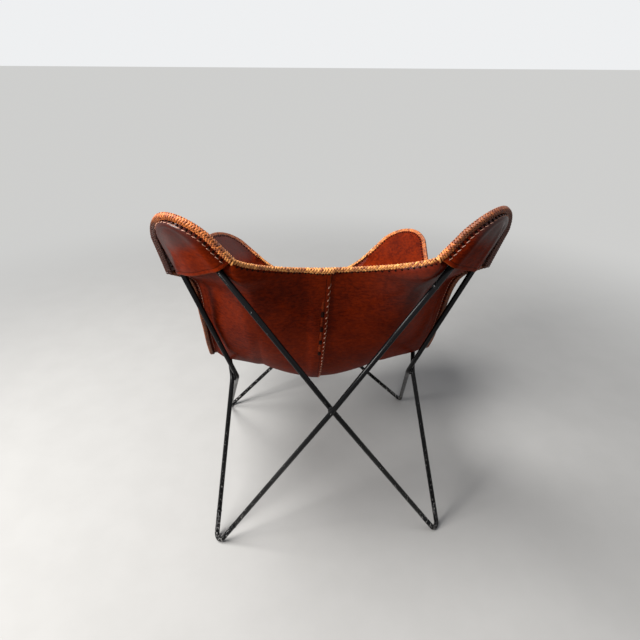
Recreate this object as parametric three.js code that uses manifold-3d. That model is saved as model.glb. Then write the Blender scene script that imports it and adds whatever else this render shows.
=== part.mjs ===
// Butterfly sling chair: two bent steel rod loops, welded where they cross, carry a laced leather sling
// on four horns. Millimetres, +Z up. The sitter faces -Y, and left means +X.
import * as THREE from "three";
import { mergeVertices } from "three/addons/utils/BufferGeometryUtils.js";
import Module from "manifold-3d";

const wasm = await Module();
wasm.setup();

// Steel rod
const rodDiameter = 12;
const footBendRadius = 13;
const rearBowRadius = 48;
const frontBowRadius = 60;
const kinkRadius = 40;
const footLeg = 55;
const bowLeg = 10;
const footFlatDepth = 0.5;
const buttGap = 0.3;

// Rod corners, each where two straight runs would meet if they weren't bent round. Half spreads are from
// the middle, and reach is towards the front from the rear feet.
const frontHornHalfSpread = 338;
const rearHornFlare = 8;
const frontFootInset = 33.2;
const rearFootInset = 12.3;
const frontFootReach = 545.3;
const rearHornSetback = 29;
const rearHornRise = 987;
const frontHornReach = 726;
const frontHornRise = 623;
const rearHornHalfSpread = frontHornHalfSpread + rearHornFlare;
const frontFootHalfSpread = frontHornHalfSpread - frontFootInset;
const rearFootHalfSpread = frontFootHalfSpread - rearFootInset;

// Places where two rods cross
const backCrossingReach = 20.6;
const backCrossingRise = 402.8;
const frontCrossingReach = 634;
const frontCrossingRise = 257;
const sideCrossingInset = 69.1;
const sideCrossingReach = 239.8;
const sideCrossingRise = 346.1;
const sideCrossingHalfSpread = frontFootHalfSpread - sideCrossingInset;

// Weld beads
const weldHalfLength = 12;
const weldHalfWidth = 7.5;
const weldHalfDepth = 3.6;
const weldClearance = 0.3;

// Leather
const slingThickness = 3.5;
const pocketThickness = 3;
const leatherGap = 0.4;
const rodClearance = 0.5;
const edgeFlat = 8;
const rearPocketMid = 261;
const rearPocketSide = 293;
const frontPocketMid = 195;
const frontPocketSide = 230;
const pocketPuff = 7;
const lobeFade = 80;

// Edge of the leather beside the bow's middle line: how far out from it, and how far up on the side away
// from the sitter, at the tip of the horn and at the two ends of the pocket's hem
const tipEdgeOut = 17;
const tipEdgeDrop = 6;
const rearMidEdgeOut = 28;
const rearMidEdgeDrop = 22;
const rearSideEdgeOut = 27;
const rearSideEdgeLift = 12;
const frontMidEdgeOut = 32;
const frontMidEdgeDrop = 18;
const frontSideEdgeOut = 46;
const frontSideEdgeLift = 4;

// Where the side edge slips behind the rod, below the rear pocket
const rearTuckRun = 52;
const rearTuckOut = 7;
const rearTuckDrop = 17;

const lapHalfWidth = 11;
const lapRampWidth = 32;
const seatRoundness = 1.8;
const borderFade = 2.4;
const edgeFlare = 1.7;
const slingShift = 7;
const rodRest = 4;
const rodDrapeWidth = 50;

// Middle of the back edge, the lowest place and the middle of the front edge, all on the seam
const rimMidReach = 45;
const rimMidRise = 735;
const seatLowReach = 395;
const seatLowRise = 278;
const frontMidInset = 36;
const frontMidRise = 425;
const backFall = 290;
const backFallReach = 70;
const seatLowBackRun = 150;
const seatLowFrontRun = 120;
const frontRise = 70;
const frontRiseRun = 88;
const rimMidRun = 110;
const rimHornRun = 14;

// Side edge of the sling between its pockets, from the back to the front, by its place from the side crossing
const upperEdgeBeside = 45;
const upperEdgeBack = 68;
const upperEdgeAbove = 210;
const waistEdgeBeside = 49;
const waistEdgeBack = 12;
const waistEdgeAbove = 106;
const lowEdgeBeside = 51;
const lowEdgeForward = 35;
const lowEdgeAbove = 56;
const foreEdgeBeside = 52;
const foreEdgeForward = 105;
const foreEdgeAbove = 94;
const frontEdgeBeside = 60;
const frontEdgeForward = 200;
const frontEdgeAbove = 144;

// Lacing round the edges
const laceThickness = 2.4;
const laceReach = 4.5;
const laceGap = 0.7;
const laceButt = 1.8;
const hangSlack = 0.3;
const twistSlack = 0.7;

// Counts
const rodSides = 12;
const bowSteps = 16;
const footSteps = 8;
const kinkSteps = 5;
const settlePasses = 6;
const legCells = 2;
const arcCells = 6;
const rimCells = 5;
const sideCells = 14;
const webCells = 4;
const lapCells = 1;
const ridgeSteps = 2;
const beadSegments = 16;
const beadRings = 10;

// Angles at which a pocket leaves the rod's ridge, and half of the turn between its folds there
const ridgeCrest = (5 * Math.PI) / 12;
const ridgeLeast = Math.PI / 6;
const ridgeHalfTurn = Math.PI / 10;

// Distances under which two points count as one
const mergeDistance = 1e-4;
const keysPerMillimetre = 1e3;

const rodRadius = rodDiameter / 2;
const frontMidReach = frontHornReach - frontMidInset;
const sideEdge = [
  [upperEdgeBeside, -upperEdgeBack, upperEdgeAbove],
  [waistEdgeBeside, -waistEdgeBack, waistEdgeAbove],
  [lowEdgeBeside, lowEdgeForward, lowEdgeAbove],
  [foreEdgeBeside, foreEdgeForward, foreEdgeAbove],
  [frontEdgeBeside, frontEdgeForward, frontEdgeAbove],
];
const seatCentre = new THREE.Vector3(0, -seatLowReach, rimMidRise);
const seatHeart = new THREE.Vector3(0, -seatLowReach, (rimMidRise + frontMidRise) / 2);

// Materials
const steel = new THREE.MeshStandardMaterial({ color: 0x0b0b0c, roughness: 0.35, metalness: 0.6 });
const bead = new THREE.MeshStandardMaterial({ color: 0x101011, roughness: 0.5, metalness: 0.6 });
const hide = new THREE.MeshStandardMaterial({ color: 0x8a2f12, roughness: 0.5, metalness: 0 });
const lace = new THREE.MeshStandardMaterial({ color: 0xb8602c, roughness: 0.55, metalness: 0 });

const chair = new THREE.Group();

// Adds one named piece to the chair.
function addPiece(name, geometry, material) {
  const mesh = new THREE.Mesh(geometry, material);
  mesh.name = name;
  chair.add(mesh);
}

// Geometry to solid and back, for cuts.
function toSolid(geometry) {
  const bare = geometry.clone().deleteAttribute("normal").deleteAttribute("uv");
  const merged = mergeVertices(bare, mergeDistance);
  return new wasm.Manifold(
    new wasm.Mesh({
      numProp: 3,
      vertProperties: new Float32Array(merged.attributes.position.array),
      triVerts: new Uint32Array(merged.index.array),
    }),
  );
}

function toGeometry(solid) {
  const mesh = solid.getMesh();
  const geometry = new THREE.BufferGeometry();
  geometry.setAttribute("position", new THREE.BufferAttribute(mesh.vertProperties, 3));
  geometry.setIndex(new THREE.BufferAttribute(mesh.triVerts, 1));
  geometry.computeVertexNormals();
  return geometry;
}

// A point that lies out from another along a direction.
function from(point, direction, distance) {
  return point.clone().addScaledVector(direction, distance);
}

// The round bend that joins two straight runs at a corner.
function bendAt(corner, endA, endB, radius) {
  const dirA = endA.clone().sub(corner).normalize();
  const dirB = endB.clone().sub(corner).normalize();
  const half = dirA.angleTo(dirB) / 2;
  const inward = dirA.clone().add(dirB).normalize();
  const centre = from(corner, inward, radius / Math.sin(half));
  const tangentLength = radius / Math.tan(half);
  const startA = from(corner, dirA, tangentLength);
  const spoke = startA.clone().sub(centre);
  const axis = dirB.clone().cross(dirA).normalize();
  return { corner, dirA, dirB, half, inward, centre, tangentLength, spoke, axis, radius };
}

// Rings of a rod from its end A round a bend to its end B: where each stands and which way it faces.
function bendRings(bend, legA, legB, steps) {
  const rings = [];
  const turn = Math.PI - 2 * bend.half;
  const sense = Math.sign(
    bend.axis.clone().cross(bend.spoke).dot(bend.dirA.clone().negate()),
  );
  const run = bend.tangentLength;
  rings.push({ at: from(bend.corner, bend.dirA, run + legA), facing: bend.dirA.clone().negate() });
  for (let i = 0; i <= steps; i++) {
    const spoke = bend.spoke.clone().applyAxisAngle(bend.axis, (sense * turn * i) / steps);
    const facing = bend.axis.clone().cross(spoke).multiplyScalar(sense).normalize();
    rings.push({ at: bend.centre.clone().add(spoke), facing });
  }
  rings.push({ at: from(bend.corner, bend.dirB, run + legB), facing: bend.dirB.clone() });
  return rings;
}

// A path that visits its rings in turn, however far apart they are.
class RingPath extends THREE.Curve {
  constructor(rings) {
    super();
    this.rings = rings;
  }
  ring(share) {
    return this.rings[Math.round(share * (this.rings.length - 1))];
  }
  getPointAt(share, target = new THREE.Vector3()) {
    return target.copy(this.ring(share).at);
  }
  getTangentAt(share, target = new THREE.Vector3()) {
    return target.copy(this.ring(share).facing);
  }
}

// Round rod along rings.
function rodAlong(rings) {
  const outline = [];
  for (let i = 0; i < rodSides; i++) {
    const angle = (2 * Math.PI * i) / rodSides;
    outline.push(new THREE.Vector2(rodRadius * Math.cos(angle), rodRadius * Math.sin(angle)));
  }
  const section = new THREE.Shape(outline);
  return new THREE.ExtrudeGeometry(section, {
    steps: rings.length - 1,
    extrudePath: new RingPath(rings),
    bevelEnabled: false,
  });
}

// Corners and crossings on one side: +1 is left, -1 is right.
const rearFootCorner = (side) => new THREE.Vector3(side * rearFootHalfSpread, 0, 0);
const frontFootCorner = (side) => new THREE.Vector3(side * frontFootHalfSpread, -frontFootReach, 0);
const rearHornCorner = (side) =>
  new THREE.Vector3(side * rearHornHalfSpread, rearHornSetback, rearHornRise);
const frontHornCorner = (side) =>
  new THREE.Vector3(side * frontHornHalfSpread, -frontHornReach, frontHornRise);

// A crossing of two rods that lie side by side: the outer one is farther from the seat.
function crossingAt(place, endsA, endsB) {
  const along = endsA[1].clone().sub(endsA[0]);
  const outward = endsB[1].clone().sub(endsB[0]).cross(along).normalize();
  if (outward.dot(seatCentre.clone().sub(place)) > 0) outward.negate();
  const shift = rodRadius + buttGap / 2;
  return { place, outward, outer: from(place, outward, shift), inner: from(place, outward, -shift) };
}

const backCrossing = crossingAt(
  new THREE.Vector3(0, -backCrossingReach, backCrossingRise),
  [rearFootCorner(1), rearHornCorner(-1)],
  [rearFootCorner(-1), rearHornCorner(1)],
);
const frontCrossing = crossingAt(
  new THREE.Vector3(0, -frontCrossingReach, frontCrossingRise),
  [frontFootCorner(1), frontHornCorner(-1)],
  [frontFootCorner(-1), frontHornCorner(1)],
);
const sideCrossing = {};
for (const side of [1, -1])
  sideCrossing[side] = crossingAt(
    new THREE.Vector3(side * sideCrossingHalfSpread, -sideCrossingReach, sideCrossingRise),
    [rearFootCorner(side), frontHornCorner(side)],
    [frontFootCorner(side), rearHornCorner(side)],
  );

// Stands a foot's bend on the floor by moving its corner up or down.
function settledFoot(corner, endA, endB) {
  const settled = corner.clone();
  for (let pass = 0; pass < settlePasses; pass++) {
    const bend = bendAt(settled, endA, endB, footBendRadius);
    const lowest = bend.centre.z - bend.radius * Math.hypot(bend.axis.x, bend.axis.y);
    settled.z += rodRadius - footFlatDepth - lowest;
  }
  return bendAt(settled, endA, endB, footBendRadius);
}

// The left feet's rods pass outside at the back and front crossings, and the right feet's pass inside.
const feet = {};
const bows = {};
for (const side of [1, -1]) {
  const word = side > 0 ? "left" : "right";
  const ownLayer = side > 0 ? "outer" : "inner";
  const otherLayer = side > 0 ? "inner" : "outer";
  const cross = sideCrossing[side];
  feet["rear_" + word] = settledFoot(rearFootCorner(side), backCrossing[ownLayer], cross.outer);
  feet["front_" + word] = settledFoot(frontFootCorner(side), frontCrossing[ownLayer], cross.inner);
  bows["rear_" + word] = bendAt(
    rearHornCorner(side),
    backCrossing[otherLayer],
    cross.inner,
    rearBowRadius,
  );
  bows["front_" + word] = bendAt(
    frontHornCorner(side),
    frontCrossing[otherLayer],
    cross.outer,
    frontBowRadius,
  );
}

// Weld beads, and the hollows that they fill in the rods.
function beadSolid(crossing, grow) {
  const up = new THREE.Vector3(0, 0, 1).projectOnPlane(crossing.outward).normalize();
  const level = up.clone().cross(crossing.outward);
  const placed = new THREE.Matrix4()
    .makeBasis(
      level.multiplyScalar(weldHalfWidth + grow),
      up.multiplyScalar(weldHalfLength + grow),
      crossing.outward.clone().negate().multiplyScalar(-weldHalfDepth - grow),
    )
    .setPosition(crossing.place);
  const geometry = new THREE.SphereGeometry(1, beadSegments, beadRings);
  geometry.applyMatrix4(placed);
  return toSolid(geometry);
}

const crossings = {
  back: backCrossing,
  front: frontCrossing,
  left: sideCrossing[1],
  right: sideCrossing[-1],
};
const beadHollows = {};
for (const [name, crossing] of Object.entries(crossings)) {
  addPiece("weld_" + name, toGeometry(beadSolid(crossing, 0)), bead);
  beadHollows[name] = beadSolid(crossing, weldClearance);
}

// Foot bends, worn flat where they stand.
function floorCut() {
  const size = 2 * (frontFootReach + frontHornReach);
  const block = new THREE.BoxGeometry(size, size, size);
  block.translate(0, 0, -size / 2);
  return toSolid(block);
}
const floor = floorCut();
for (const [name, bend] of Object.entries(feet)) {
  const rod = toSolid(rodAlong(bendRings(bend, footLeg, footLeg, footSteps)));
  addPiece(name.replace("_", "_foot_"), toGeometry(rod.subtract(floor)), steel);
}

// Horn bows that the sling hangs on.
for (const [name, bend] of Object.entries(bows))
  addPiece(name.replace("_", "_bow_"), rodAlong(bendRings(bend, bowLeg, bowLeg, bowSteps)), steel);

// A rod from a foot bend through a crossing to a bow, kinked where it crosses.
function crossingRod(name, foot, footDir, crossing, layer, bow, bowDir, hollow) {
  const start = from(foot.corner, foot[footDir], foot.tangentLength + footLeg + buttGap);
  const end = from(bow.corner, bow[bowDir], bow.tangentLength + bowLeg + buttGap);
  const kink = bendAt(crossing[layer], start, end, kinkRadius);
  const rings = bendRings(
    kink,
    start.distanceTo(kink.corner) - kink.tangentLength,
    end.distanceTo(kink.corner) - kink.tangentLength,
    kinkSteps,
  );
  addPiece(name, toGeometry(toSolid(rodAlong(rings)).subtract(hollow)), steel);
}
for (const [own, other, ownLayer] of [
  ["left", "right", "outer"],
  ["right", "left", "inner"],
]) {
  const rearFoot = feet["rear_" + own];
  const frontFoot = feet["front_" + own];
  const cross = crossings[own];
  crossingRod("back_rod_" + own + "_foot", rearFoot, "dirA", backCrossing, ownLayer,
    bows["rear_" + other], "dirA", beadHollows.back);
  crossingRod("front_rod_" + own + "_foot", frontFoot, "dirA", frontCrossing, ownLayer,
    bows["front_" + other], "dirA", beadHollows.front);
  crossingRod("side_rod_" + own + "_rear_foot", rearFoot, "dirB", cross, "outer",
    bows["front_" + own], "dirB", beadHollows[own]);
  crossingRod("side_rod_" + own + "_front_foot", frontFoot, "dirB", cross, "inner",
    bows["rear_" + own], "dirB", beadHollows[own]);
}

// Rounded place of a point, so that points that coincide share a name.
function keyOf(point) {
  return point.toArray().map((v) => Math.round(v * keysPerMillimetre)).join();
}

// Faces of a leather sheet made of patches that share their border points, and the way that each point faces.
function sheetFaces(patches) {
  const points = [];
  const seen = new Map();
  const indexOf = (point) => {
    const key = keyOf(point);
    if (!seen.has(key)) {
      seen.set(key, points.length);
      points.push(point);
    }
    return seen.get(key);
  };
  const faces = [];
  const keep = (a, b, c) => {
    if (a !== b && b !== c && a !== c) faces.push([a, b, c]);
  };
  for (const patch of patches) {
    const ids = patch.map((row) => row.map(indexOf));
    for (let r = 0; r + 1 < ids.length; r++)
      for (let c = 0; c + 1 < ids[r].length; c++) {
        keep(ids[r][c], ids[r][c + 1], ids[r + 1][c + 1]);
        keep(ids[r][c], ids[r + 1][c + 1], ids[r + 1][c]);
      }
  }
  const normals = points.map(() => new THREE.Vector3());
  for (const face of faces) {
    const [a, b, c] = face.map((i) => points[i]);
    const area = b.clone().sub(a).cross(c.clone().sub(a));
    face.forEach((i) => normals[i].add(area));
  }
  normals.forEach((normal) => normal.normalize());
  return { points, faces, normals, indexOf };
}

// Closed shell of a leather sheet round its middle surface.
function sheetShell(patches, thickness) {
  const { points, faces, normals } = sheetFaces(patches);
  const open = new Map();
  for (const face of faces)
    for (let k = 0; k < face.length; k++) {
      const a = face[k];
      const b = face[(k + 1) % face.length];
      if (!open.delete(b + "," + a)) open.set(a + "," + b, [a, b]);
    }
  const count = points.length;
  const position = [];
  for (const half of [thickness / 2, -thickness / 2])
    points.forEach((p, i) => position.push(...from(p, normals[i], half).toArray()));
  const index = [];
  for (const [a, b, c] of faces) index.push(a, b, c, a + count, c + count, b + count);
  for (const [a, b] of open.values()) index.push(a, b + count, b, a, a + count, b + count);
  const geometry = new THREE.BufferGeometry();
  geometry.setAttribute("position", new THREE.Float32BufferAttribute(position, 3));
  geometry.setIndex(index);
  geometry.computeVertexNormals();
  return geometry;
}

// A horn as the leather sees it: the bow's plane, and stations round it from the middle's side to the
// outer side. Each station has the edge of the leather and the fold where the sling turns round the rod.
const slingLift = rodRadius + rodClearance + slingThickness / 2;
const pocketLift = slingThickness / 2 + leatherGap + pocketThickness / 2;
function hornAt(bend, pocketMid, pocketSide, midEdge, outerEdge) {
  const outward = bend.dirB.clone().cross(bend.dirA).normalize();
  if (outward.dot(seatCentre.clone().sub(bend.corner)) > 0) outward.negate();
  const across = bend.dirB.clone().sub(bend.dirA).normalize();
  const outA = across.clone().negate().projectOnPlane(bend.dirA).normalize();
  const outB = across.clone().projectOnPlane(bend.dirB).normalize();
  const stations = [];
  for (let i = 0; i < legCells; i++) {
    const along = THREE.MathUtils.lerp(pocketMid, bend.tangentLength, i / legCells);
    stations.push({ on: from(bend.corner, bend.dirA, along), out: outA });
  }
  for (const ring of bendRings(bend, 0, 0, 2 * arcCells).slice(1, -1))
    stations.push({ on: ring.at, out: ring.at.clone().sub(bend.centre).normalize() });
  for (let i = 1; i <= legCells; i++) {
    const along = THREE.MathUtils.lerp(bend.tangentLength, pocketSide, i / legCells);
    stations.push({ on: from(bend.corner, bend.dirB, along), out: outB });
  }
  const tip = legCells + arcCells;
  stations.forEach((station, i) => {
    const [endOut, endUp] = i < tip ? midEdge : outerEdge;
    const share = Math.pow(Math.abs(i - tip) / tip, edgeFlare);
    const out = THREE.MathUtils.lerp(tipEdgeOut, endOut, share);
    const up = THREE.MathUtils.lerp(-tipEdgeDrop, endUp, share);
    const lean = Math.atan2(up, out) - Math.acos(slingLift / Math.hypot(out, up)) + Math.PI / 2;
    const turn = slingLift * Math.tan(Math.max(lean, 0) / 2);
    station.edge = from(from(station.on, station.out, out), outward, up);
    station.fold = from(from(station.on, station.out, turn), outward, -slingLift);
    station.inward = station.fold.clone().sub(station.edge).normalize();
    const side = outward.clone().cross(station.out);
    station.facing = station.inward.clone().cross(side).normalize();
    if (station.facing.dot(outward) < 0) station.facing.negate();
  });
  const hem = ((pocketMid + pocketSide) / 2) * Math.cos(bend.half);
  return { bend, outward, outA, outB, stations, hem };
}
const horns = {};
for (const word of ["left", "right"]) {
  horns["rear_" + word] = hornAt(
    bows["rear_" + word],
    rearPocketMid,
    rearPocketSide,
    [rearMidEdgeOut, -rearMidEdgeDrop],
    [rearSideEdgeOut, rearSideEdgeLift],
  );
  horns["front_" + word] = hornAt(
    bows["front_" + word],
    frontPocketMid,
    frontPocketSide,
    [frontMidEdgeOut, -frontMidEdgeDrop],
    [frontSideEdgeOut, frontSideEdgeLift],
  );
}

// The sling's leather over a horn, as ribs across it from the hem's line to the tip.
function lobeRibs(horn) {
  const tip = legCells + arcCells;
  const ribs = [];
  for (let r = 0; r <= tip; r++) {
    const a = horn.stations[r];
    const b = horn.stations[2 * tip - r];
    const web = [];
    for (let i = 0; i <= webCells; i++) web.push(a.fold.clone().lerp(b.fold, i / webCells));
    ribs.push([a.edge, ...web, b.edge]);
  }
  return ribs;
}
for (const horn of Object.values(horns)) horn.ribs = lobeRibs(horn);

// Half of the back or front border of the sling's body: from the seam to the horn, then across the horn.
function endBorder(middle, horn, side) {
  const [first, second] = horn.stations;
  const away = first.edge.clone().sub(second.edge).normalize();
  const curve = new THREE.CubicBezierCurve3(
    middle,
    from(middle, new THREE.Vector3(side, 0, 0), rimMidRun),
    from(first.edge, away, rimHornRun),
    first.edge,
  );
  const length = curve.getLength();
  const rampEnd = (lapHalfWidth + lapRampWidth) / length;
  const shares = [0, lapHalfWidth / length];
  for (let i = 0; i < rimCells; i++) shares.push(THREE.MathUtils.lerp(rampEnd, 1, i / rimCells));
  return [...shares.map((share) => curve.getPointAt(share)), ...horn.ribs[0]];
}

// The side edge of the sling between its two pockets.
function sideBorder(rear, front, side) {
  const tuckRoot = from(rear.bend.corner, rear.bend.dirB, rearPocketSide + rearTuckRun);
  const rearEnds = rear.stations.slice(-2).map((s) => s.edge);
  const frontEnds = front.stations.slice(-2).map((s) => s.edge).reverse();
  const sidePoint = ([beside, forward, above]) =>
    new THREE.Vector3(
      side * (sideCrossingHalfSpread + beside) + slingShift,
      -sideCrossingReach - forward,
      sideCrossingRise + above,
    );
  const curve = new THREE.CatmullRomCurve3(
    [
      ...rearEnds,
      from(from(tuckRoot, rear.outB, rearTuckOut), rear.outward, -rearTuckDrop),
      ...sideEdge.map(sidePoint),
      ...frontEnds,
    ],
    false,
    "centripetal",
  );
  const length = curve.getLength();
  const start = rearEnds[0].distanceTo(rearEnds[1]) / length;
  const end = 1 - frontEnds[0].distanceTo(frontEnds[1]) / length;
  const points = [rearEnds[1]];
  for (let i = 1; i < sideCells; i++)
    points.push(curve.getPointAt(THREE.MathUtils.lerp(start, end, i / sideCells)));
  return [...points, frontEnds[0]];
}

// How far along a run of points each one lies, as a share.
function shareAlong(points) {
  const lengths = [0];
  for (let i = 1; i < points.length; i++)
    lengths.push(lengths[i - 1] + points[i].distanceTo(points[i - 1]));
  return lengths.map((length) => length / lengths[lengths.length - 1]);
}

// The seam's profile in the middle plane.
function seamProfile() {
  const top = new THREE.Vector3(slingShift, -rimMidReach, rimMidRise);
  const low = new THREE.Vector3(slingShift, -seatLowReach, seatLowRise);
  const front = new THREE.Vector3(slingShift, -frontMidReach, frontMidRise);
  const forward = new THREE.Vector3(0, -1, 0);
  const up = new THREE.Vector3(0, 0, 1);
  const path = new THREE.CurvePath();
  path.add(
    new THREE.CubicBezierCurve3(
      top,
      from(from(top, forward, backFallReach), up, -backFall),
      from(low, forward, -seatLowBackRun),
      low,
    ),
  );
  path.add(
    new THREE.CubicBezierCurve3(
      low,
      from(low, forward, seatLowFrontRun),
      from(from(front, forward, -frontRiseRun), up, -frontRise),
      front,
    ),
  );
  return path;
}
const seamCurve = seamProfile();

// Draws the leather near a horn towards the flat that it has over the bow.
function drawnFlat(point, horn) {
  const offset = point.clone().sub(horn.bend.corner);
  const along = offset.dot(horn.bend.inward);
  if (along < 0) return point;
  const beside = Math.max(offset.dot(horn.outA), offset.dot(horn.outB), 0);
  const { smoothstep } = THREE.MathUtils;
  const hold =
    (1 - smoothstep(along, horn.hem, horn.hem + lobeFade)) * (1 - smoothstep(beside, 0, lobeFade));
  return from(point, horn.outward, hold * (-slingLift - offset.dot(horn.outward)));
}

// Lifts the leather that lies near a side rod onto the rod's seat side.
function restedOn(point, start, end) {
  const along = end.clone().sub(start);
  const share = THREE.MathUtils.clamp(point.clone().sub(start).dot(along) / along.lengthSq(), 0, 1);
  const foot = from(start, along, share);
  const inward = seatHeart.clone().sub(foot).projectOnPlane(along).normalize();
  const offset = point.clone().sub(foot);
  const height = offset.dot(inward);
  const beside = from(offset, inward, -height).length();
  const drape = (2 * beside) / rodDrapeWidth;
  const needed = rodRest + slingLift * (1 - drape * drape);
  return from(point, inward, Math.max(needed - height, 0));
}

// A point between the seam and the side edge, lower than halfway.
function hung(atSeam, atEdge, share) {
  const point = atSeam.clone().lerp(atEdge, Math.pow(share, seatRoundness));
  point.x = THREE.MathUtils.lerp(atSeam.x, atEdge.x, share);
  return point;
}

// One half of the sling's body as rows from the back to the front, each from the seam to the side edge.
function halfBody(side) {
  const word = side > 0 ? "left" : "right";
  const rear = horns["rear_" + word];
  const front = horns["front_" + word];
  const rim = endBorder(seamCurve.getPointAt(0), rear, side);
  const lip = endBorder(seamCurve.getPointAt(1), front, side);
  const cross = sideCrossing[side];
  const edge = sideBorder(rear, front, side);
  const across = shareAlong(rim);
  const down = shareAlong(edge);
  const seam = down.map((share) => seamCurve.getPointAt(share));
  const lastColumn = rim.length - 1;
  const lastRow = edge.length - 1;
  return edge.map((_, r) =>
    rim.map((_, c) => {
      if (r === 0) return rim[c];
      if (r === lastRow) return lip[c];
      if (c === 0) return seam[r];
      if (c === lastColumn) return edge[r];
      const point = hung(seam[r], edge[r], across[c]);
      for (const [border, nearness] of [
        [rim, 1 - down[r]],
        [lip, down[r]],
      ]) {
        const plain = hung(border[0], border[lastColumn], across[c]);
        point.addScaledVector(border[c].clone().sub(plain), Math.pow(nearness, borderFade));
      }
      const flat = drawnFlat(drawnFlat(point, rear), front);
      const rested = restedOn(flat, cross.inner, rear.bend.corner);
      return restedOn(rested, cross.outer, front.bend.corner);
    }),
  );
}
const leftBody = halfBody(1);
const rightBody = halfBody(-1);
const lastRow = leftBody.length - 1;
const lastColumn = leftBody[0].length - 1;

// The whole sling faces away from the sitter; its right half's rows run the other way.
const turned = (patch) => patch.map((row) => [...row].reverse());
const wholeBody = leftBody.map((row, r) => [...rightBody[r].slice(1).reverse(), ...row]);
const leftLobes = [[...horns.rear_left.ribs].reverse(), horns.front_left.ribs];
const rightLobes = [
  turned([...horns.rear_right.ribs].reverse()),
  turned(horns.front_right.ribs),
];
const whole = sheetFaces([wholeBody, ...leftLobes, ...rightLobes]);
const outside = whole.normals[whole.indexOf(wholeBody[0][lastColumn])].y > 0 ? 1 : -1;
const facingOf = (point) => whole.normals[whole.indexOf(point)].clone().multiplyScalar(outside);

// The left panel laps over the outside of the right one along the seam.
const lapLift = slingThickness + leatherGap;
const leftPatch = wholeBody.map((row) =>
  row
    .slice(lastColumn - lapCells)
    .map((p, c) => (c <= 2 * lapCells ? from(p, facingOf(p), lapLift) : p)),
);
const rightPatch = wholeBody.map((row) => row.slice(0, lastColumn + lapCells + 1));
addPiece("sling_left", sheetShell([leftPatch, ...leftLobes], slingThickness), hide);
addPiece("sling_right", sheetShell([rightPatch, ...rightLobes], slingThickness), hide);

// Pockets: each wraps round the bow from the edge of the sling and bridges the gap between the rods.
function pocketRibs(horn) {
  const tip = legCells + arcCells;
  const wrap = (rodRadius + rodClearance + pocketThickness / 2) / Math.cos(ridgeHalfTurn);
  const profile = (station) => {
    const edge = from(station.edge, station.facing, pocketLift);
    const inner = from(edge, station.inward, edgeFlat);
    const offset = inner.clone().sub(station.on);
    const out = offset.dot(station.out);
    const up = offset.dot(horn.outward);
    const touch = Math.atan2(up, out) + Math.acos(wrap / Math.hypot(out, up));
    const start = Math.min(touch, ridgeCrest - ridgeLeast);
    const points = [edge, inner];
    for (let i = 0; i <= ridgeSteps; i++) {
      const angle = THREE.MathUtils.lerp(start, ridgeCrest, i / ridgeSteps);
      const on = from(station.on, station.out, wrap * Math.cos(angle));
      points.push(from(on, horn.outward, wrap * Math.sin(angle)));
    }
    points.push(from(from(station.on, station.out, -rodRadius), horn.outward, wrap));
    return points;
  };
  const ribs = [];
  for (let r = 0; r <= tip; r++) {
    const a = profile(horn.stations[r]);
    const b = profile(horn.stations[2 * tip - r]).reverse();
    const web = [];
    for (let i = 1; i < webCells; i++) {
      const share = i / webCells;
      const puff = 4 * pocketPuff * (1 - r / tip) * share * (1 - share);
      web.push(from(a[a.length - 1].clone().lerp(b[0], share), horn.outward, puff));
    }
    ribs.push([...a, ...web, ...b]);
  }
  return ribs;
}

// Lacing: a band that wraps the edges of the leather from one face to the other.
function laceBand(stations) {
  const half = laceThickness / 2;
  const rings = stations.map(({ at, inward, facing, low, high }) => {
    const middle = (low + high) / 2;
    const inside = [
      [laceReach, low - laceGap],
      [-laceGap, low - laceGap],
      [-laceGap, middle],
      [-laceGap, high + laceGap],
      [laceReach, high + laceGap],
    ];
    const outer = [
      [laceReach, high + laceGap + laceThickness],
      [-laceGap - half, high + laceGap + laceThickness],
      [-laceGap - laceThickness, middle],
      [-laceGap - half, low - laceGap - laceThickness],
      [laceReach, low - laceGap - laceThickness],
    ];
    return [...inside, ...outer].map(([x, z]) => from(from(at, inward, x), facing, z));
  });
  const size = rings[0].length;
  const end = (rings.length - 1) * size;
  const faces = [];
  for (let s = 0; s < end; s += size)
    for (let k = 0; k < size; k++) {
      const a = s + k;
      const b = s + ((k + 1) % size);
      faces.push([a, b, a + size], [b, b + size, a + size]);
    }
  for (let k = 0; k + 1 < size / 2; k++) {
    const [a, b, c, d] = [k, k + 1, size - 2 - k, size - 1 - k];
    faces.push([a, d, b], [b, d, c], [end + a, end + b, end + d], [end + b, end + c, end + d]);
  }
  const geometry = new THREE.BufferGeometry();
  const position = rings.flat().flatMap((p) => p.toArray());
  geometry.setAttribute("position", new THREE.Float32BufferAttribute(position, 3));
  geometry.setIndex(faces.flat());
  if (toSolid(geometry).volume() < 0) geometry.setIndex(faces.flatMap(([a, b, c]) => [a, c, b]));
  geometry.computeVertexNormals();
  return geometry;
}

// Pulls the ends of a run of lacing back from its neighbours.
function shortened(stations) {
  const pull = (a, b) => {
    const share = laceButt / stations[a].at.distanceTo(stations[b].at);
    stations[a] = { ...stations[a], at: stations[a].at.clone().lerp(stations[b].at, share) };
  };
  const last = stations.length - 1;
  pull(0, 1);
  pull(last, last - 1);
  return stations;
}

const halfSheet = slingThickness / 2;
for (const [name, horn] of Object.entries(horns)) {
  addPiece(name.replace("_", "_pocket_"), sheetShell([pocketRibs(horn)], pocketThickness), hide);
  const stations = horn.stations.map(({ edge, inward, facing }) => ({
    at: edge,
    inward,
    facing,
    low: -halfSheet,
    high: pocketLift + pocketThickness / 2,
  }));
  addPiece(name.replace("_", "_pocket_lace_"), laceBand(shortened(stations)), lace);
}

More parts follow.
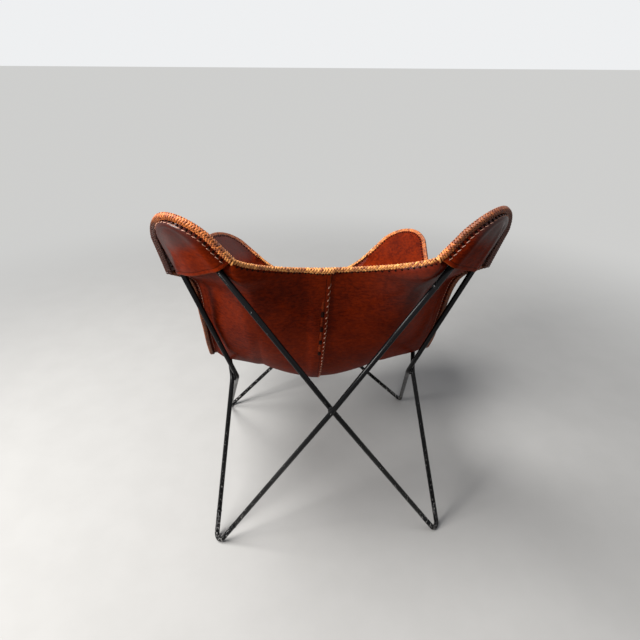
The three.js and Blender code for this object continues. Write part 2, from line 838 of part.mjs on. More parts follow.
// A station of plain lacing at an edge point of the sling; the neighbour lies inwards of it.
function edgeStation(at, neighbour, high) {
  const inward = neighbour.clone().sub(at).normalize();
  return { at, inward, facing: facingOf(at), low: -halfSheet, high };
}
const openColumns = lastColumn + 1 - horns.rear_left.ribs[0].length;
for (const [name, row, next] of [
  ["back_edge_lace", wholeBody[0], wholeBody[1]],
  ["front_edge_lace", wholeBody[lastRow], wholeBody[lastRow - 1]],
]) {
  const stations = [];
  for (let c = -openColumns; c <= openColumns; c++) {
    const high = halfSheet + (Math.abs(c) <= lapCells ? lapLift : 0);
    stations.push(edgeStation(row[lastColumn + c], next[lastColumn + c], high));
  }
  addPiece(name, laceBand(shortened(stations)), lace);
}
for (const [name, body] of [
  ["side_edge_lace_left", leftBody],
  ["side_edge_lace_right", rightBody],
]) {
  const stations = body.map((row, r) => {
    const station = edgeStation(row[lastColumn], row[lastColumn - 1], halfSheet);
    const slack = r > 1 ? hangSlack : twistSlack;
    return { ...station, low: station.low - slack, high: station.high + slack };
  });
  addPiece(name, laceBand(shortened(stations)), lace);
}

// The box round all pieces stands on the floor with its middle at the origin.
const bounds = new THREE.Box3().setFromObject(chair);
const middle = bounds.getCenter(new THREE.Vector3());
chair.position.set(-middle.x, -middle.y, -bounds.min.z);

export default chair;
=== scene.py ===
"""Butterfly sling chair seen from behind: bent steel rods, welded together, and a laced leather sling."""

import logging
import math
from dataclasses import dataclass, field
from enum import Enum

import bpy
import numpy as np
from mathutils import Matrix, Vector, kdtree, noise

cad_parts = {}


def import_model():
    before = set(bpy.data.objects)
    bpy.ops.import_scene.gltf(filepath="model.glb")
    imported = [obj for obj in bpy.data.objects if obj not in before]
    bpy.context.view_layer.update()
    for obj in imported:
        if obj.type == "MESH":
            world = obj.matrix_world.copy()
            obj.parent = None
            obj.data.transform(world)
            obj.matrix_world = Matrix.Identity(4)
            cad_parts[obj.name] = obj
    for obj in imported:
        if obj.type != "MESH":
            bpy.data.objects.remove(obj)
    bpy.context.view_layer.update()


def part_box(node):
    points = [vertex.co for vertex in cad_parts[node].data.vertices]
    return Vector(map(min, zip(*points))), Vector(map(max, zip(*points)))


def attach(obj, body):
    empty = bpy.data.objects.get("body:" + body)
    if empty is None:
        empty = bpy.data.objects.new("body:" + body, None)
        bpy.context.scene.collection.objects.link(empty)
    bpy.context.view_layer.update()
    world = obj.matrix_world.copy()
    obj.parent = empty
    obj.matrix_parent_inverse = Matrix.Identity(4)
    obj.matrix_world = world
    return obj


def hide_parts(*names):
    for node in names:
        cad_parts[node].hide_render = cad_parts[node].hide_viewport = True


Points = np.ndarray
Pair = tuple[float, float]
Row = tuple[float, float, float]
Material = bpy.types.Material
LOG = logging.getLogger("sling_chair")
MM = 0.001
MERGE = 1e-3
ROUND_EDGE = ((0.55, 0.24), (0.0, 0.32), (-0.55, 0.24))
UP = np.array([0.0, 0.0, 1.0])
FORWARD = np.array([0.0, -1.0, 0.0])


class Side(Enum):
    """The sitter's two sides, by the sign of X."""

    LEFT = 1
    RIGHT = -1

    @property
    def word(self) -> str:
        """The side's name as node names give it."""
        return self.name.lower()


class Slot(Enum):
    """The record's material slots."""

    SLING = "sling_leather"
    LACING = "lacing_leather"
    ROD = "rod_paint"
    WELD = "weld_paint"


def unit(vectors: Points) -> Points:
    """Vectors at length one."""
    return vectors / np.maximum(np.linalg.norm(vectors, axis=-1, keepdims=True), 1e-12)


def mix(start: Points, end: Points, share: Points) -> Points:
    """The values between two others at a share of the way."""
    return start + (end - start) * share


def ease(values: Points, low: float, high: float) -> Points:
    """A smooth step from 0 at low to 1 at high."""
    share = np.clip((values - low) / (high - low), 0.0, 1.0)
    return share * share * (3.0 - 2.0 * share)


def hump(values: Points, middle: float, width: float) -> Points:
    """A smooth hump, 1 at the middle and nearly 0 two widths away."""
    return np.exp(-(((values - middle) / width) ** 2))


def dot(a: Points, b: Points) -> Points:
    """The product of each vector with its partner."""
    return np.sum(a * b, axis=-1)


def without(vectors: Points, normal: Points) -> Points:
    """Vectors without their part along a unit normal."""
    return vectors - (vectors @ normal)[..., None] * normal


def lengths_along(points: Points) -> Points:
    """How far along a run of points each one lies."""
    return np.concatenate([[0.0], np.cumsum(np.linalg.norm(np.diff(points, axis=0), axis=1))])


def along(places: Points | float, lengths: Points, values: Points) -> Points:
    """A run's vectors at distances along it, where lengths says how far along each of them lies."""
    return np.stack([np.interp(places, lengths, column) for column in values.T], axis=-1)


def resampled(points: Points, shares: Points) -> Points:
    """The points at shares, from 0 to 1, of a run's length."""
    lengths = lengths_along(points)
    return along(shares * lengths[-1], lengths, points)


def bezier(corners: list[Points], steps: int) -> Points:
    """Points of the cubic Bezier curve that four control points give.

    Args:
        corners: the control points.
        steps: how many pieces it is cut into.

    Returns:
        The points.
    """
    t = np.linspace(0.0, 1.0, steps + 1)[:, None]
    a, b, c, d = corners
    return a * (1 - t) ** 3 + 3 * b * t * (1 - t) ** 2 + 3 * c * t * t * (1 - t) + d * t**3


def centripetal(points: Points, steps: int) -> list[Points]:
    """The spans of a centripetal Catmull-Rom curve.

    Args:
        points: what the curve passes through.
        steps: how many pieces each span is cut into.

    Returns:
        The points of each span, ends included.
    """
    run = np.vstack([2 * points[0] - points[1], points, 2 * points[-1] - points[-2]])
    gaps = np.sqrt(np.linalg.norm(np.diff(run, axis=0), axis=1))
    t = np.linspace(0.0, 1.0, steps + 1)[:, None]
    spans = []
    for i in range(len(points) - 1):
        x0, x1, x2, x3 = run[i : i + 4]
        g0, g1, g2 = gaps[i : i + 3]
        m1 = ((x1 - x0) / g0 - (x2 - x0) / (g0 + g1) + (x2 - x1) / g1) * g1
        m2 = ((x2 - x1) / g1 - (x3 - x1) / (g1 + g2) + (x3 - x2) / g2) * g1
        spans.append(x1 + m1 * t + (3 * (x2 - x1) - 2 * m1 - m2) * t * t + (2 * (x1 - x2) + m1 + m2) * t**3)
    return spans


def crease_noise(points: Points, scale: float, seed: float) -> Points:
    """Smooth noise from about -1 to 1 at places in millimetres.

    Args:
        points: the places.
        scale: how wide its waves are, in millimetres.
        seed: a number that picks one field of noise.

    Returns:
        A value for each place.
    """
    flat = points.reshape(-1, 3) / scale + seed
    return np.array([noise.noise(Vector(p)) for p in flat]).reshape(points.shape[:-1])


def around(count: int) -> Points:
    """Even angles round a circle."""
    return np.linspace(0, 2 * math.pi, count, endpoint=False)


@dataclass
class Form:
    """A mesh in the making: its corners in millimetres, its faces, and values for each corner."""

    points: Points
    faces: list[tuple[int, ...]]
    marks: dict[str, Points] = field(default_factory=dict)

    @staticmethod
    def joined(forms: list["Form"]) -> "Form":
        """Several forms that carry the same marks, as one.

        Args:
            forms: the forms.

        Returns:
            One form with all their faces.
        """
        faces, start = [], 0
        for form in forms:
            faces.extend(tuple(i + start for i in face) for face in form.faces)
            start += len(form.points)
        marks = {name: np.concatenate([f.marks[name] for f in forms]) for name in forms[0].marks}
        return Form(np.concatenate([f.points for f in forms]), faces, marks)

    @staticmethod
    def lofted(rings: Points, turned: bool = False) -> "Form":
        """A skin through rings of points, closed at both ends.

        Args:
            rings: the points of each ring.
            turned: whether its faces look the other way.

        Returns:
            The closed form.
        """
        count, size = rings.shape[:2]
        faces = [tuple(range(size))[::-1], tuple(range((count - 1) * size, count * size))]
        for start in range(0, (count - 1) * size, size):
            for k in range(size):
                a, b = start + k, start + (k + 1) % size
                faces.append((a, b, b + size, a + size))
        return Form(rings.reshape(-1, 3), [face[::-1] for face in faces] if turned else faces)


def shown(name: str, data: bpy.types.ID) -> bpy.types.Object:
    """A new object in the scene that shows some data.

    Args:
        name: its name.
        data: a mesh, lamp or camera.

    Returns:
        The object.
    """
    made = bpy.data.objects.new(name, data)
    bpy.context.scene.collection.objects.link(made)
    return made


class Workshop:
    """Turns forms into pieces of the scene that ride on the chair."""

    def __init__(self) -> None:
        """Finds where the frame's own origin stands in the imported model."""
        low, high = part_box("weld_back")
        crossing = Vector((0.0, -RodFrame.back_crossing[1], RodFrame.back_crossing[2])) * MM
        self.shift = np.array((low + high) / 2 - crossing)

    def piece(
        self, name: str, form: Form, material: Material, slot: Slot, *stands_for: str
    ) -> bpy.types.Object:
        """Makes a piece from a form.

        Args:
            name: the piece's name.
            form: its mesh, in millimetres of the rod frame.
            material: its finish.
            slot: the record's slot that the finish belongs to; not used.
            stands_for: CAD nodes that it replaces.

        Returns:
            The new object.
        """
        mesh = bpy.data.meshes.new(name)
        mesh.from_pydata((form.points * MM + self.shift).tolist(), [], form.faces)
        mesh.polygons.foreach_set("use_smooth", [True] * len(mesh.polygons))
        for mark, values in form.marks.items():
            layer = mesh.attributes.new(mark, "FLOAT", "POINT")
            layer.data.foreach_set("value", np.asarray(values, np.float32))
        mesh.materials.append(material)
        mesh.update()
        made = shown(name, mesh)
        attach(made, "root")
        if stands_for:
            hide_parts(*stands_for)
        LOG.info("%s: %d faces", name, len(form.faces))
        return made


@dataclass
class Bend:
    """The round bend that joins two straight runs of rod at a corner."""

    corner: Points
    end_a: Points
    end_b: Points
    radius: float

    def __post_init__(self) -> None:
        """Works out the bend's circle."""
        self.dir_a = unit(self.end_a - self.corner)
        self.dir_b = unit(self.end_b - self.corner)
        self.half = math.acos(float(np.clip(self.dir_a @ self.dir_b, -1, 1))) / 2
        self.inward = unit(self.dir_a + self.dir_b)
        self.centre = self.corner + self.inward * self.radius / math.sin(self.half)
        self.run = self.radius / math.tan(self.half)
        self.turn = math.pi - 2 * self.half
        self.axis = unit(np.cross(self.dir_b, self.dir_a))
        self.spoke = unit(self.corner + self.dir_a * self.run - self.centre)

    def on_circle(self, angles: Points) -> tuple[Points, Points]:
        """Places on the bend and the way the rod runs there, by angle from its side A."""
        c, s = np.cos(angles)[:, None], np.sin(angles)[:, None]
        return self.centre + self.radius * (c * self.spoke - s * self.dir_a), -s * self.spoke - c * self.dir_a

    def rings(self, leg_a: float, leg_b: float, steps: int) -> tuple[Points, Points]:
        """Rings of a rod round the bend.

        Args:
            leg_a: straight length before the bend.
            leg_b: straight length after it.
            steps: how many spans the bend has.

        Returns:
            Where each ring stands and which way it faces.
        """
        at, facing = self.on_circle(np.linspace(0, self.turn, steps + 1))
        start = self.corner + self.dir_a * (self.run + leg_a)
        end = self.corner + self.dir_b * (self.run + leg_b)
        return np.vstack([start, at, end]), np.vstack([-self.dir_a, facing, self.dir_b])


@dataclass
class Crossing:
    """Two rods that lie side by side: the outer one is farther from the seat."""

    place: Points
    outward: Points
    shift: float

    def __post_init__(self) -> None:
        """Finds the two rods' middles."""
        self.outer = self.place + self.outward * self.shift
        self.inner = self.place - self.outward * self.shift


def tube(at: Points, facing: Points, radii: Points, sides: int) -> Form:
    """A round tube, closed at both ends.

    Args:
        at: the middle of each ring.
        facing: the way each ring faces.
        radii: each ring's radius.
        sides: how many sides a ring has.

    Returns:
        The tube.
    """
    across = unit(np.cross(facing[0], [0.31, 0.87, 0.38]))
    c, s = np.cos(around(sides))[:, None], np.sin(around(sides))[:, None]
    rings = []
    for middle, way, radius in zip(at, unit(facing), radii):
        across = unit(without(across, way))
        rings.append(middle + radius * (c * across + s * np.cross(way, across)))
    return Form.lofted(np.array(rings))


@dataclass
class RodFrame:
    """The frame of bent rods. Sizes are in millimetres; a corner is its half spread, reach and rise."""

    rod_radius: float = 6.0
    foot_bend: float = 13.0
    rear_bow: float = 48.0
    front_bow: float = 60.0
    kink: float = 40.0
    foot_leg: float = 55.0
    bow_leg: float = 10.0
    foot_flat: float = 0.5
    butt_gap: float = 0.3
    rear_foot: Row = (292.5, 0.0, 0.0)
    front_foot: Row = (304.8, 545.3, 0.0)
    rear_horn: Row = (346.0, -29.0, 987.0)
    front_horn: Row = (338.0, 726.0, 623.0)
    back_crossing: Row = (0.0, 20.6, 402.8)
    front_crossing: Row = (0.0, 634.0, 257.0)
    side_crossing: Row = (235.7, 239.8, 346.1)
    seat_centre: Row = (0.0, -395.0, 735.0)
    bead_half: Row = (7.5, 12.0, 3.6)
    bead_rings: int = 26
    bead_sides: int = 28
    bead_ripples: int = 11
    ripple_share: float = 0.05
    lump_share: float = 0.10
    butt_half: float = 3.2
    butt_rise: float = 0.75
    butt_sink: float = 0.05
    butt_lump: float = 0.3
    splice_run: float = 312.0
    sides: int = 32
    bend_steps: int = 20
    kink_steps: int = 8
    settle_passes: int = 6

    def corner(self, side: Side, spec: Row) -> Points:
        """A corner's place on one side."""
        return np.array([side.value * spec[0], -spec[1], spec[2]])

    def crossing(self, place: Points, ends_a: list[Points], ends_b: list[Points]) -> Crossing:
        """Two rods' crossing, from its place and the two ends of each rod.

        Args:
            place: where they cross.
            ends_a: one rod's ends.
            ends_b: the other's.

        Returns:
            The crossing.
        """
        outward = unit(np.cross(ends_b[1] - ends_b[0], ends_a[1] - ends_a[0]))
        if outward @ (np.array(self.seat_centre) - place) > 0:
            outward = -outward
        return Crossing(place, outward, self.rod_radius + self.butt_gap / 2)

    def settled(self, corner: Points, end_a: Points, end_b: Points) -> Bend:
        """A foot's bend, moved up or down until it stands on the floor.

        Args:
            corner: its corner.
            end_a: where its rod comes from.
            end_b: where it goes.

        Returns:
            The settled bend.
        """
        place = corner.copy()
        for _ in range(self.settle_passes):
            bend = Bend(place, end_a, end_b, self.foot_bend)
            lowest = bend.centre[2] - bend.radius * math.hypot(bend.axis[0], bend.axis[1])
            place[2] += self.rod_radius - self.foot_flat - lowest
        return Bend(place, end_a, end_b, self.foot_bend)

    def __post_init__(self) -> None:
        """Works out the crossings, the feet's bends and the horns' bows."""
        left, right = Side
        keys = [(end, side) for end in ("rear", "front") for side in Side]
        foot, horn = (
            {(end, side): self.corner(side, getattr(self, f"{end}_{kind}")) for end, side in keys}
            for kind in ("foot", "horn")
        )
        self.middle = {
            end: self.crossing(
                self.corner(left, spec),
                [foot[end, left], horn[end, right]],
                [foot[end, right], horn[end, left]],
            )
            for end, spec in (("rear", self.back_crossing), ("front", self.front_crossing))
        }
        self.beside = {
            side: self.crossing(
                self.corner(side, self.side_crossing),
                [foot["rear", side], horn["front", side]],
                [foot["front", side], horn["rear", side]],
            )
            for side in Side
        }
        self.feet: dict[str, Bend] = {}
        self.bows: dict[str, Bend] = {}
        for side, own, other in ((left, "outer", "inner"), (right, "inner", "outer")):
            cross = self.beside[side]
            for end, foot_end, bow_end, radius in (
                ("rear", cross.outer, cross.inner, self.rear_bow),
                ("front", cross.inner, cross.outer, self.front_bow),
            ):
                key, middle = f"{end}_{side.word}", self.middle[end]
                self.feet[key] = self.settled(foot[end, side], getattr(middle, own), foot_end)
                self.bows[key] = Bend(horn[end, side], getattr(middle, other), bow_end, radius)

    def rod(self, at: Points, facing: Points) -> Form:
        """A rod through rings, worn flat where it stands on the floor.

        Args:
            at: the middle of each ring.
            facing: the way each ring faces.

        Returns:
            The rod.
        """
        form = tube(at, facing, np.full(len(at), self.rod_radius), self.sides)
        form.points[:, 2] = np.maximum(form.points[:, 2], 0.0)
        return form

    def straight(self, foot: Bend, bow: Bend, way: str, knee: Points) -> Form:
        """A rod from a foot to a bow.

        Args:
            foot: the foot's bend.
            bow: the horn's bend.
            way: which side of both it leaves from, dir_a or dir_b.
            knee: its middle at the crossing.

        Returns:
            The rod.
        """
        start = foot.corner + getattr(foot, way) * (foot.run + self.foot_leg)
        end = bow.corner + getattr(bow, way) * (bow.run + self.bow_leg)
        bend = Bend(knee, start, end, self.kink)
        legs = [float(np.linalg.norm(p - knee)) - bend.run for p in (start, end)]
        return self.rod(*bend.rings(*legs, self.kink_steps))

    def bead(self, crossing: Crossing, seed: float) -> Form:
        """A weld bead that fills the corners between two crossing rods.

        Args:
            crossing: the rods' crossing.
            seed: a number that picks its lumps.

        Returns:
            The bead.
        """
        up = unit(without(UP, crossing.outward))
        polar = np.linspace(0.02, math.pi - 0.02, self.bead_rings)[:, None]
        turn = around(self.bead_sides)[None, :]
        ripple = 1 + self.ripple_share * np.sin(self.bead_ripples * polar)
        across, high, deep = self.bead_half
        ball = (
            np.sin(polar) * np.cos(turn) * across * ripple,
            np.cos(polar) * np.ones_like(turn) * high,
            np.sin(polar) * np.sin(turn) * deep * ripple,
        )
        local = np.stack(ball, axis=-1)
        local = local * (1 + self.lump_share * crease_noise(local, 3.5, seed))[..., None]
        axes = np.stack([np.cross(up, crossing.outward), up, crossing.outward])
        return Form.lofted(crossing.place + local @ axes, turned=True)

    def butt_weld(self, middle: Points, way: Points, seed: float) -> Form:
        """The low ring of weld round a butt joint in a rod.

        Args:
            middle: where the joint is.
            way: the way that the rod runs.
            seed: what picks its lumps.

        Returns:
            The ring.
        """
        steps = np.linspace(-1, 1, 13)
        radii = self.rod_radius + self.butt_rise * np.sqrt(np.clip(1 - steps**2, 0, 1)) - self.butt_sink
        form = tube(middle + steps[:, None] * self.butt_half * way, np.tile(way, (13, 1)), radii, self.sides)
        lump = self.butt_lump * crease_noise(form.points, 3.0, seed)[:, None]
        form.points = form.points + lump * unit(without(form.points - middle, way))
        return form

    def build(self, shop: Workshop, paint: Material, weld: Material) -> None:
        """Makes every rod in paint, and every weld in its own finish.

        Args:
            shop: what makes pieces of forms.
            paint: the rods' finish.
            weld: the welds' finish.
        """
        for kind, bends, leg in (("foot", self.feet, self.foot_leg), ("bow", self.bows, self.bow_leg)):
            for key, bend in bends.items():
                name = key.replace("_", f"_{kind}_")
                form = self.rod(*bend.rings(leg, leg, self.bend_steps))
                shop.piece(f"bent_{name}", form, paint, Slot.ROD, name)
        back, front = self.middle["rear"], self.middle["front"]
        for side, other, layer in ((Side.LEFT, "right", "outer"), (Side.RIGHT, "left", "inner")):
            own, cross = side.word, self.beside[side]
            for name, foot, bow, way, knee in (
                (f"back_rod_{own}_foot", f"rear_{own}", f"rear_{other}", "dir_a", getattr(back, layer)),
                (f"front_rod_{own}_foot", f"front_{own}", f"front_{other}", "dir_a", getattr(front, layer)),
                (f"side_rod_{own}_rear_foot", f"rear_{own}", f"front_{own}", "dir_b", cross.outer),
                (f"side_rod_{own}_front_foot", f"front_{own}", f"rear_{own}", "dir_b", cross.inner),
            ):
                form = self.straight(self.feet[foot], self.bows[bow], way, knee)
                shop.piece(f"round_{name}", form, paint, Slot.ROD, name)
        crossings = {"back": back, "front": front} | {side.word: self.beside[side] for side in Side}
        for seed, (name, crossing) in enumerate(crossings.items()):
            shop.piece(f"bead_{name}", self.bead(crossing, seed * 7.3), weld, Slot.WELD, f"weld_{name}")
        foot, bow = self.feet["rear_left"], self.bows["rear_right"]
        reach = foot.run + self.foot_leg
        rings = [
            self.butt_weld(bend.corner + way * run, way, seed)
            for bend, way, run, seed in (
                (foot, foot.dir_a, reach, 3.1),
                (foot, foot.dir_b, reach, 4.1),
                (bow, bow.dir_a, self.splice_run, 9.4),
            )
        ]
        shop.piece("butt_welds", Form.joined(rings), weld, Slot.WELD)


@dataclass
class Patch:
    """A grid of points of leather, how proud its outer face stands at each, and how much painted shade it
    has: a darker colour, with more coat.
    """

    points: Points
    proud: Points | float = 0.0
    burnish: Points | float = 0.0

    def values(self, kind: str) -> Points:
        """One of the two values at each point, in a row."""
        return np.broadcast_to(getattr(self, kind), self.points.shape[:2]).reshape(-1)


class Hide:
    """A leather sheet of patches that share their border points."""

    def __init__(self, patches: list[Patch]) -> None:
        """Joins patches whose shared border points coincide.

        Args:
            patches: the grids.
        """
        flat = np.concatenate([p.points.reshape(-1, 3) for p in patches])
        proud, burnish = (np.concatenate([p.values(kind) for p in patches]) for kind in ("proud", "burnish"))
        keys = np.round(flat / MERGE).astype(np.int64)
        _, first, index = np.unique(keys, axis=0, return_index=True, return_inverse=True)
        self.points, self.proud, self.burnish = flat[first], proud[first], burnish[first]
        self.grids, self.faces, start = [], [], 0
        for patch in patches:
            rows, columns = patch.points.shape[:2]
            ids = index.reshape(-1)[start : start + rows * columns].reshape(rows, columns)
            start += rows * columns
            self.grids.append(ids)
            corners = np.stack([ids[:-1, :-1], ids[:-1, 1:], ids[1:, 1:], ids[1:, :-1]], axis=-1)
            for quad in corners.reshape(-1, 4).tolist():
                face = tuple(v for k, v in enumerate(quad) if v != quad[k - 1])
                if len(set(face)) == len(face) > 2:
                    self.faces.append(face)
        self.area, self.normals = 0.0, np.zeros_like(self.points)
        for face in self.faces:
            a, b, c, d = (self.points[i] for i in (face + face[:1])[:4])
            across = np.cross(c - a, d - b) / 2
            self.area += float(np.linalg.norm(across)) * MM * MM
            self.normals[list(face)] += across
        self.normals = unit(self.normals)

    def edges(self) -> list[tuple[int, int]]:
        """The open edges, each with its face on the left.

        Returns:
            Pairs of corners.
        """
        open_: dict[tuple[int, int], None] = {}
        for face in self.faces:
            for a, b in zip(face, face[1:] + face[:1]):
                if (b, a) in open_:
                    del open_[b, a]
                else:
                    open_[a, b] = None
        return list(open_)

    def shell(self, thickness: float, up: int = 1) -> Form:
        """The closed sheet with round edges.

        Args:
            thickness: the leather's thickness.
            up: 1 if the outer face is on the side of the normals, -1 if not.

        Returns:
            The sheet, with each point's distance from the edge and its share of painted shade as marks.
        """
        edges = self.edges()
        rim = sorted({i for edge in edges for i in edge})
        order = {i: k for k, i in enumerate(rim)}
        out = np.zeros((len(rim), 3))
        for a, b in edges:
            out[[order[a], order[b]]] += unit(
                np.cross(self.points[b] - self.points[a], self.normals[a] + self.normals[b])
            )
        out = unit(out)
        tree = kdtree.KDTree(len(rim))
        for i in rim:
            tree.insert(Vector(self.points[i]), i)
        tree.balance()
        inset = np.array([tree.find(Vector(p))[2] for p in self.points])
        half, count = thickness / 2, len(self.points)
        lift = self.proud[:, None] * self.normals * up
        top = self.points + half * self.normals + (lift if up > 0 else 0)
        bottom = self.points - half * self.normals + (lift if up < 0 else 0)
        rows = [top, bottom]
        for height, bulge in ROUND_EDGE:
            rows.append(self.points[rim] + height * half * self.normals[rim] + bulge * thickness * out)
        faces = self.faces + [tuple(i + count for i in face[::-1]) for face in self.faces]
        starts = [2 * count + k * len(rim) for k in range(3)]
        for a, b in edges:
            ladder_a, ladder_b = ([i] + [s + order[i] for s in starts] + [i + count] for i in (a, b))
            for k in range(4):
                faces.append((ladder_a[k], ladder_a[k + 1], ladder_b[k + 1], ladder_b[k]))
        burnish = np.concatenate([self.burnish, self.burnish, self.burnish[np.tile(rim, 3)]])
        inset = np.concatenate([inset, inset, np.zeros(3 * len(rim))])
        return Form(np.concatenate(rows), faces, {"inset": inset, "burnish": burnish})


@dataclass
class Stations:
    """Where the leather's edge runs round a horn, from the middle's side to the outer side."""

    on: Points
    out: Points
    edge: Points
    fold: Points
    inward: Points
    facing: Points
    lean: Points


@dataclass(frozen=True)
class HornCut:
    """How far a pocket reaches down a bow's two legs, and how far out and up the leather's edge stands."""

    pocket_mid: float
    pocket_side: float
    mid_edge: Pair
    side_edge: Pair
    tip_edge: Pair = (17.0, -6.0)
    edge_flare: float = 1.7


@dataclass
class Horn:
    """A horn as the leather sees it. Places on it run to whole, and up to arc_share round the bow."""

    bend: Bend
    cut: HornCut
    sling_lift: float
    seat_centre: Row
    arc_share: float = 6.0
    whole: float = 8.0

    def __post_init__(self) -> None:
        """Works out the bow's plane and the two ways out of it."""
        bend = self.bend
        self.outward = unit(np.cross(bend.dir_b, bend.dir_a))
        if self.outward @ (np.array(self.seat_centre) - bend.corner) > 0:
            self.outward = -self.outward
        across = unit(bend.dir_b - bend.dir_a)
        self.out_a = unit(without(-across, bend.dir_a))
        self.out_b = unit(without(across, bend.dir_b))
        self.reach = (self.cut.pocket_mid + self.cut.pocket_side) / 2

    def stations(self, places: Points) -> Stations:
        """Stations round the horn.

        Args:
            places: from -whole at the hem on the middle's side, through 0 at the tip, to whole.

        Returns:
            What the leather does there.
        """
        bend, cut, count = self.bend, self.cut, len(places)
        on, out = np.zeros((count, 3)), np.zeros((count, 3))
        round_ = np.abs(places) <= self.arc_share
        at, _ = bend.on_circle(bend.turn / 2 * (1 + places[round_] / self.arc_share))
        on[round_], out[round_] = at, unit(at - bend.centre)
        for sign, way, reach, outs in (
            (-1, bend.dir_a, cut.pocket_mid, self.out_a),
            (1, bend.dir_b, cut.pocket_side, self.out_b),
        ):
            leg = (places * sign) > self.arc_share
            share = (np.abs(places[leg]) - self.arc_share) / (self.whole - self.arc_share)
            on[leg] = bend.corner + mix(bend.run, reach, share)[:, None] * way
            out[leg] = outs
        flare = (np.abs(places) / self.whole) ** cut.edge_flare
        ends = [np.where(places < 0, cut.mid_edge[k], cut.side_edge[k]) for k in range(2)]
        wide, high = (mix(cut.tip_edge[k], ends[k], flare) for k in range(2))
        lean = np.arctan2(high, wide) - np.arccos(self.sling_lift / np.hypot(wide, high)) + math.pi / 2
        turn = self.sling_lift * np.tan(np.maximum(lean, 0) / 2)
        edge = on + out * wide[:, None] + self.outward * high[:, None]
        fold = on + out * turn[:, None] - self.outward * self.sling_lift
        inward = unit(fold - edge)
        facing = unit(np.cross(inward, np.cross(np.tile(self.outward, (count, 1)), out)))
        facing *= np.where(facing @ self.outward < 0, -1.0, 1.0)[:, None]
        return Stations(on, out, edge, fold, inward, facing, lean)


@dataclass
class SlingSizes:
    """Sizes of the leather, in millimetres."""

    sling_thickness: float = 3.5
    pocket_thickness: float = 3.0
    leather_gap: float = 0.4
    rod_clearance: float = 0.5
    rear_cut: HornCut = HornCut(261.0, 293.0, (28.0, -22.0), (27.0, 12.0))
    front_cut: HornCut = HornCut(195.0, 230.0, (32.0, -18.0), (46.0, 4.0))
    arc_ribs: int = 25
    leg_ribs: int = 15
    rib_crowding: float = 1.8
    edge_flat: float = 8.0
    pocket_web: int = 21
    pocket_puff: float = 7.0
    creased_pocket: str = "rear_right"
    pocket_ridge: float = 3.5
    ridge_place: Pair = (0.62, 0.08)
    pocket_dent: float = 6.0
    dent_place: Pair = (0.79, 0.07)
    bent_flat: float = 0.56
    largest_round: float = 0.85
    steepest_touch: float = 68.0
    round_start: Pair = (0.0, 4.0)
    round_end: Pair = (6.2, 7.8)
    # Painted shade on the front lobes, most on the left one, which faces away from the light.
    front_worn: Pair = (0.85, 0.12)
    # A painted sheen patch on the right panel: a darker colour with more coat, where a grey sheen shows.
    stain: float = 0.65
    stain_row: int = 6
    stain_out: float = 200.0
    stain_reach: float = 75.0
    lobe_fade: float = 80.0
    lap_half: float = 11.0
    lap_ramp: float = 32.0
    seam_offset: float = 8.25
    seam_drift: float = 7.0
    roundness: float = 1.8
    border_fade: float = 2.4
    body_rows: int = 85
    shift: float = 7.0
    rod_rest: float = 4.0
    rod_drape: float = 90.0
    tuck: Row = (345.0, 7.0, -17.0)
    left_tuck_shift: float = 14.0
    rim_mid: Pair = (45.0, 735.0)
    seat_low: Pair = (395.0, 278.0)
    front_mid: Pair = (690.0, 425.0)
    back_fall: Pair = (70.0, 290.0)
    low_runs: Pair = (150.0, 120.0)
    front_rise: Pair = (88.0, 70.0)
    rim_runs: Pair = (110.0, 14.0)
    side_edge: tuple[Row, ...] = (
        (280.7, 171.8, 556.1),
        (284.7, 227.8, 452.1),
        (286.7, 274.8, 402.1),
        (287.7, 344.8, 440.1),
        (295.7, 439.8, 490.1),
    )
    seat_heart: Row = (0.0, -395.0, 580.0)
    least_fillet: float = 12.0
    edge_curl: float = 5.5
    full_lean: float = 0.7
    shoulder: float = 22.0
    hem_width: float = 6.5
    hem_proud: float = 0.9
    groove_depth: float = 0.5
    groove_place: Pair = (1.4, 1.3)
    crease_height: float = 1.5
    crease_width: float = 85.0
    crease_stretch: Row = (1.0, 1.0, 0.45)
    calm_rows: Pair = (0.12, 0.88)
    calm_seam: Pair = (4.0, 60.0)
    calm_edge: Pair = (250.0, 330.0)
    # Painted shade on the pockets' outer flanks, and darker towards their tips.
    burnish_inset: float = 17.0
    burnish_blend: float = 7.0
    burnish_low: float = 0.55
    tip_burnish: float = 0.9
    tip_slant: float = 0.24
    tip_fade: Pair = (0.22, 0.56)


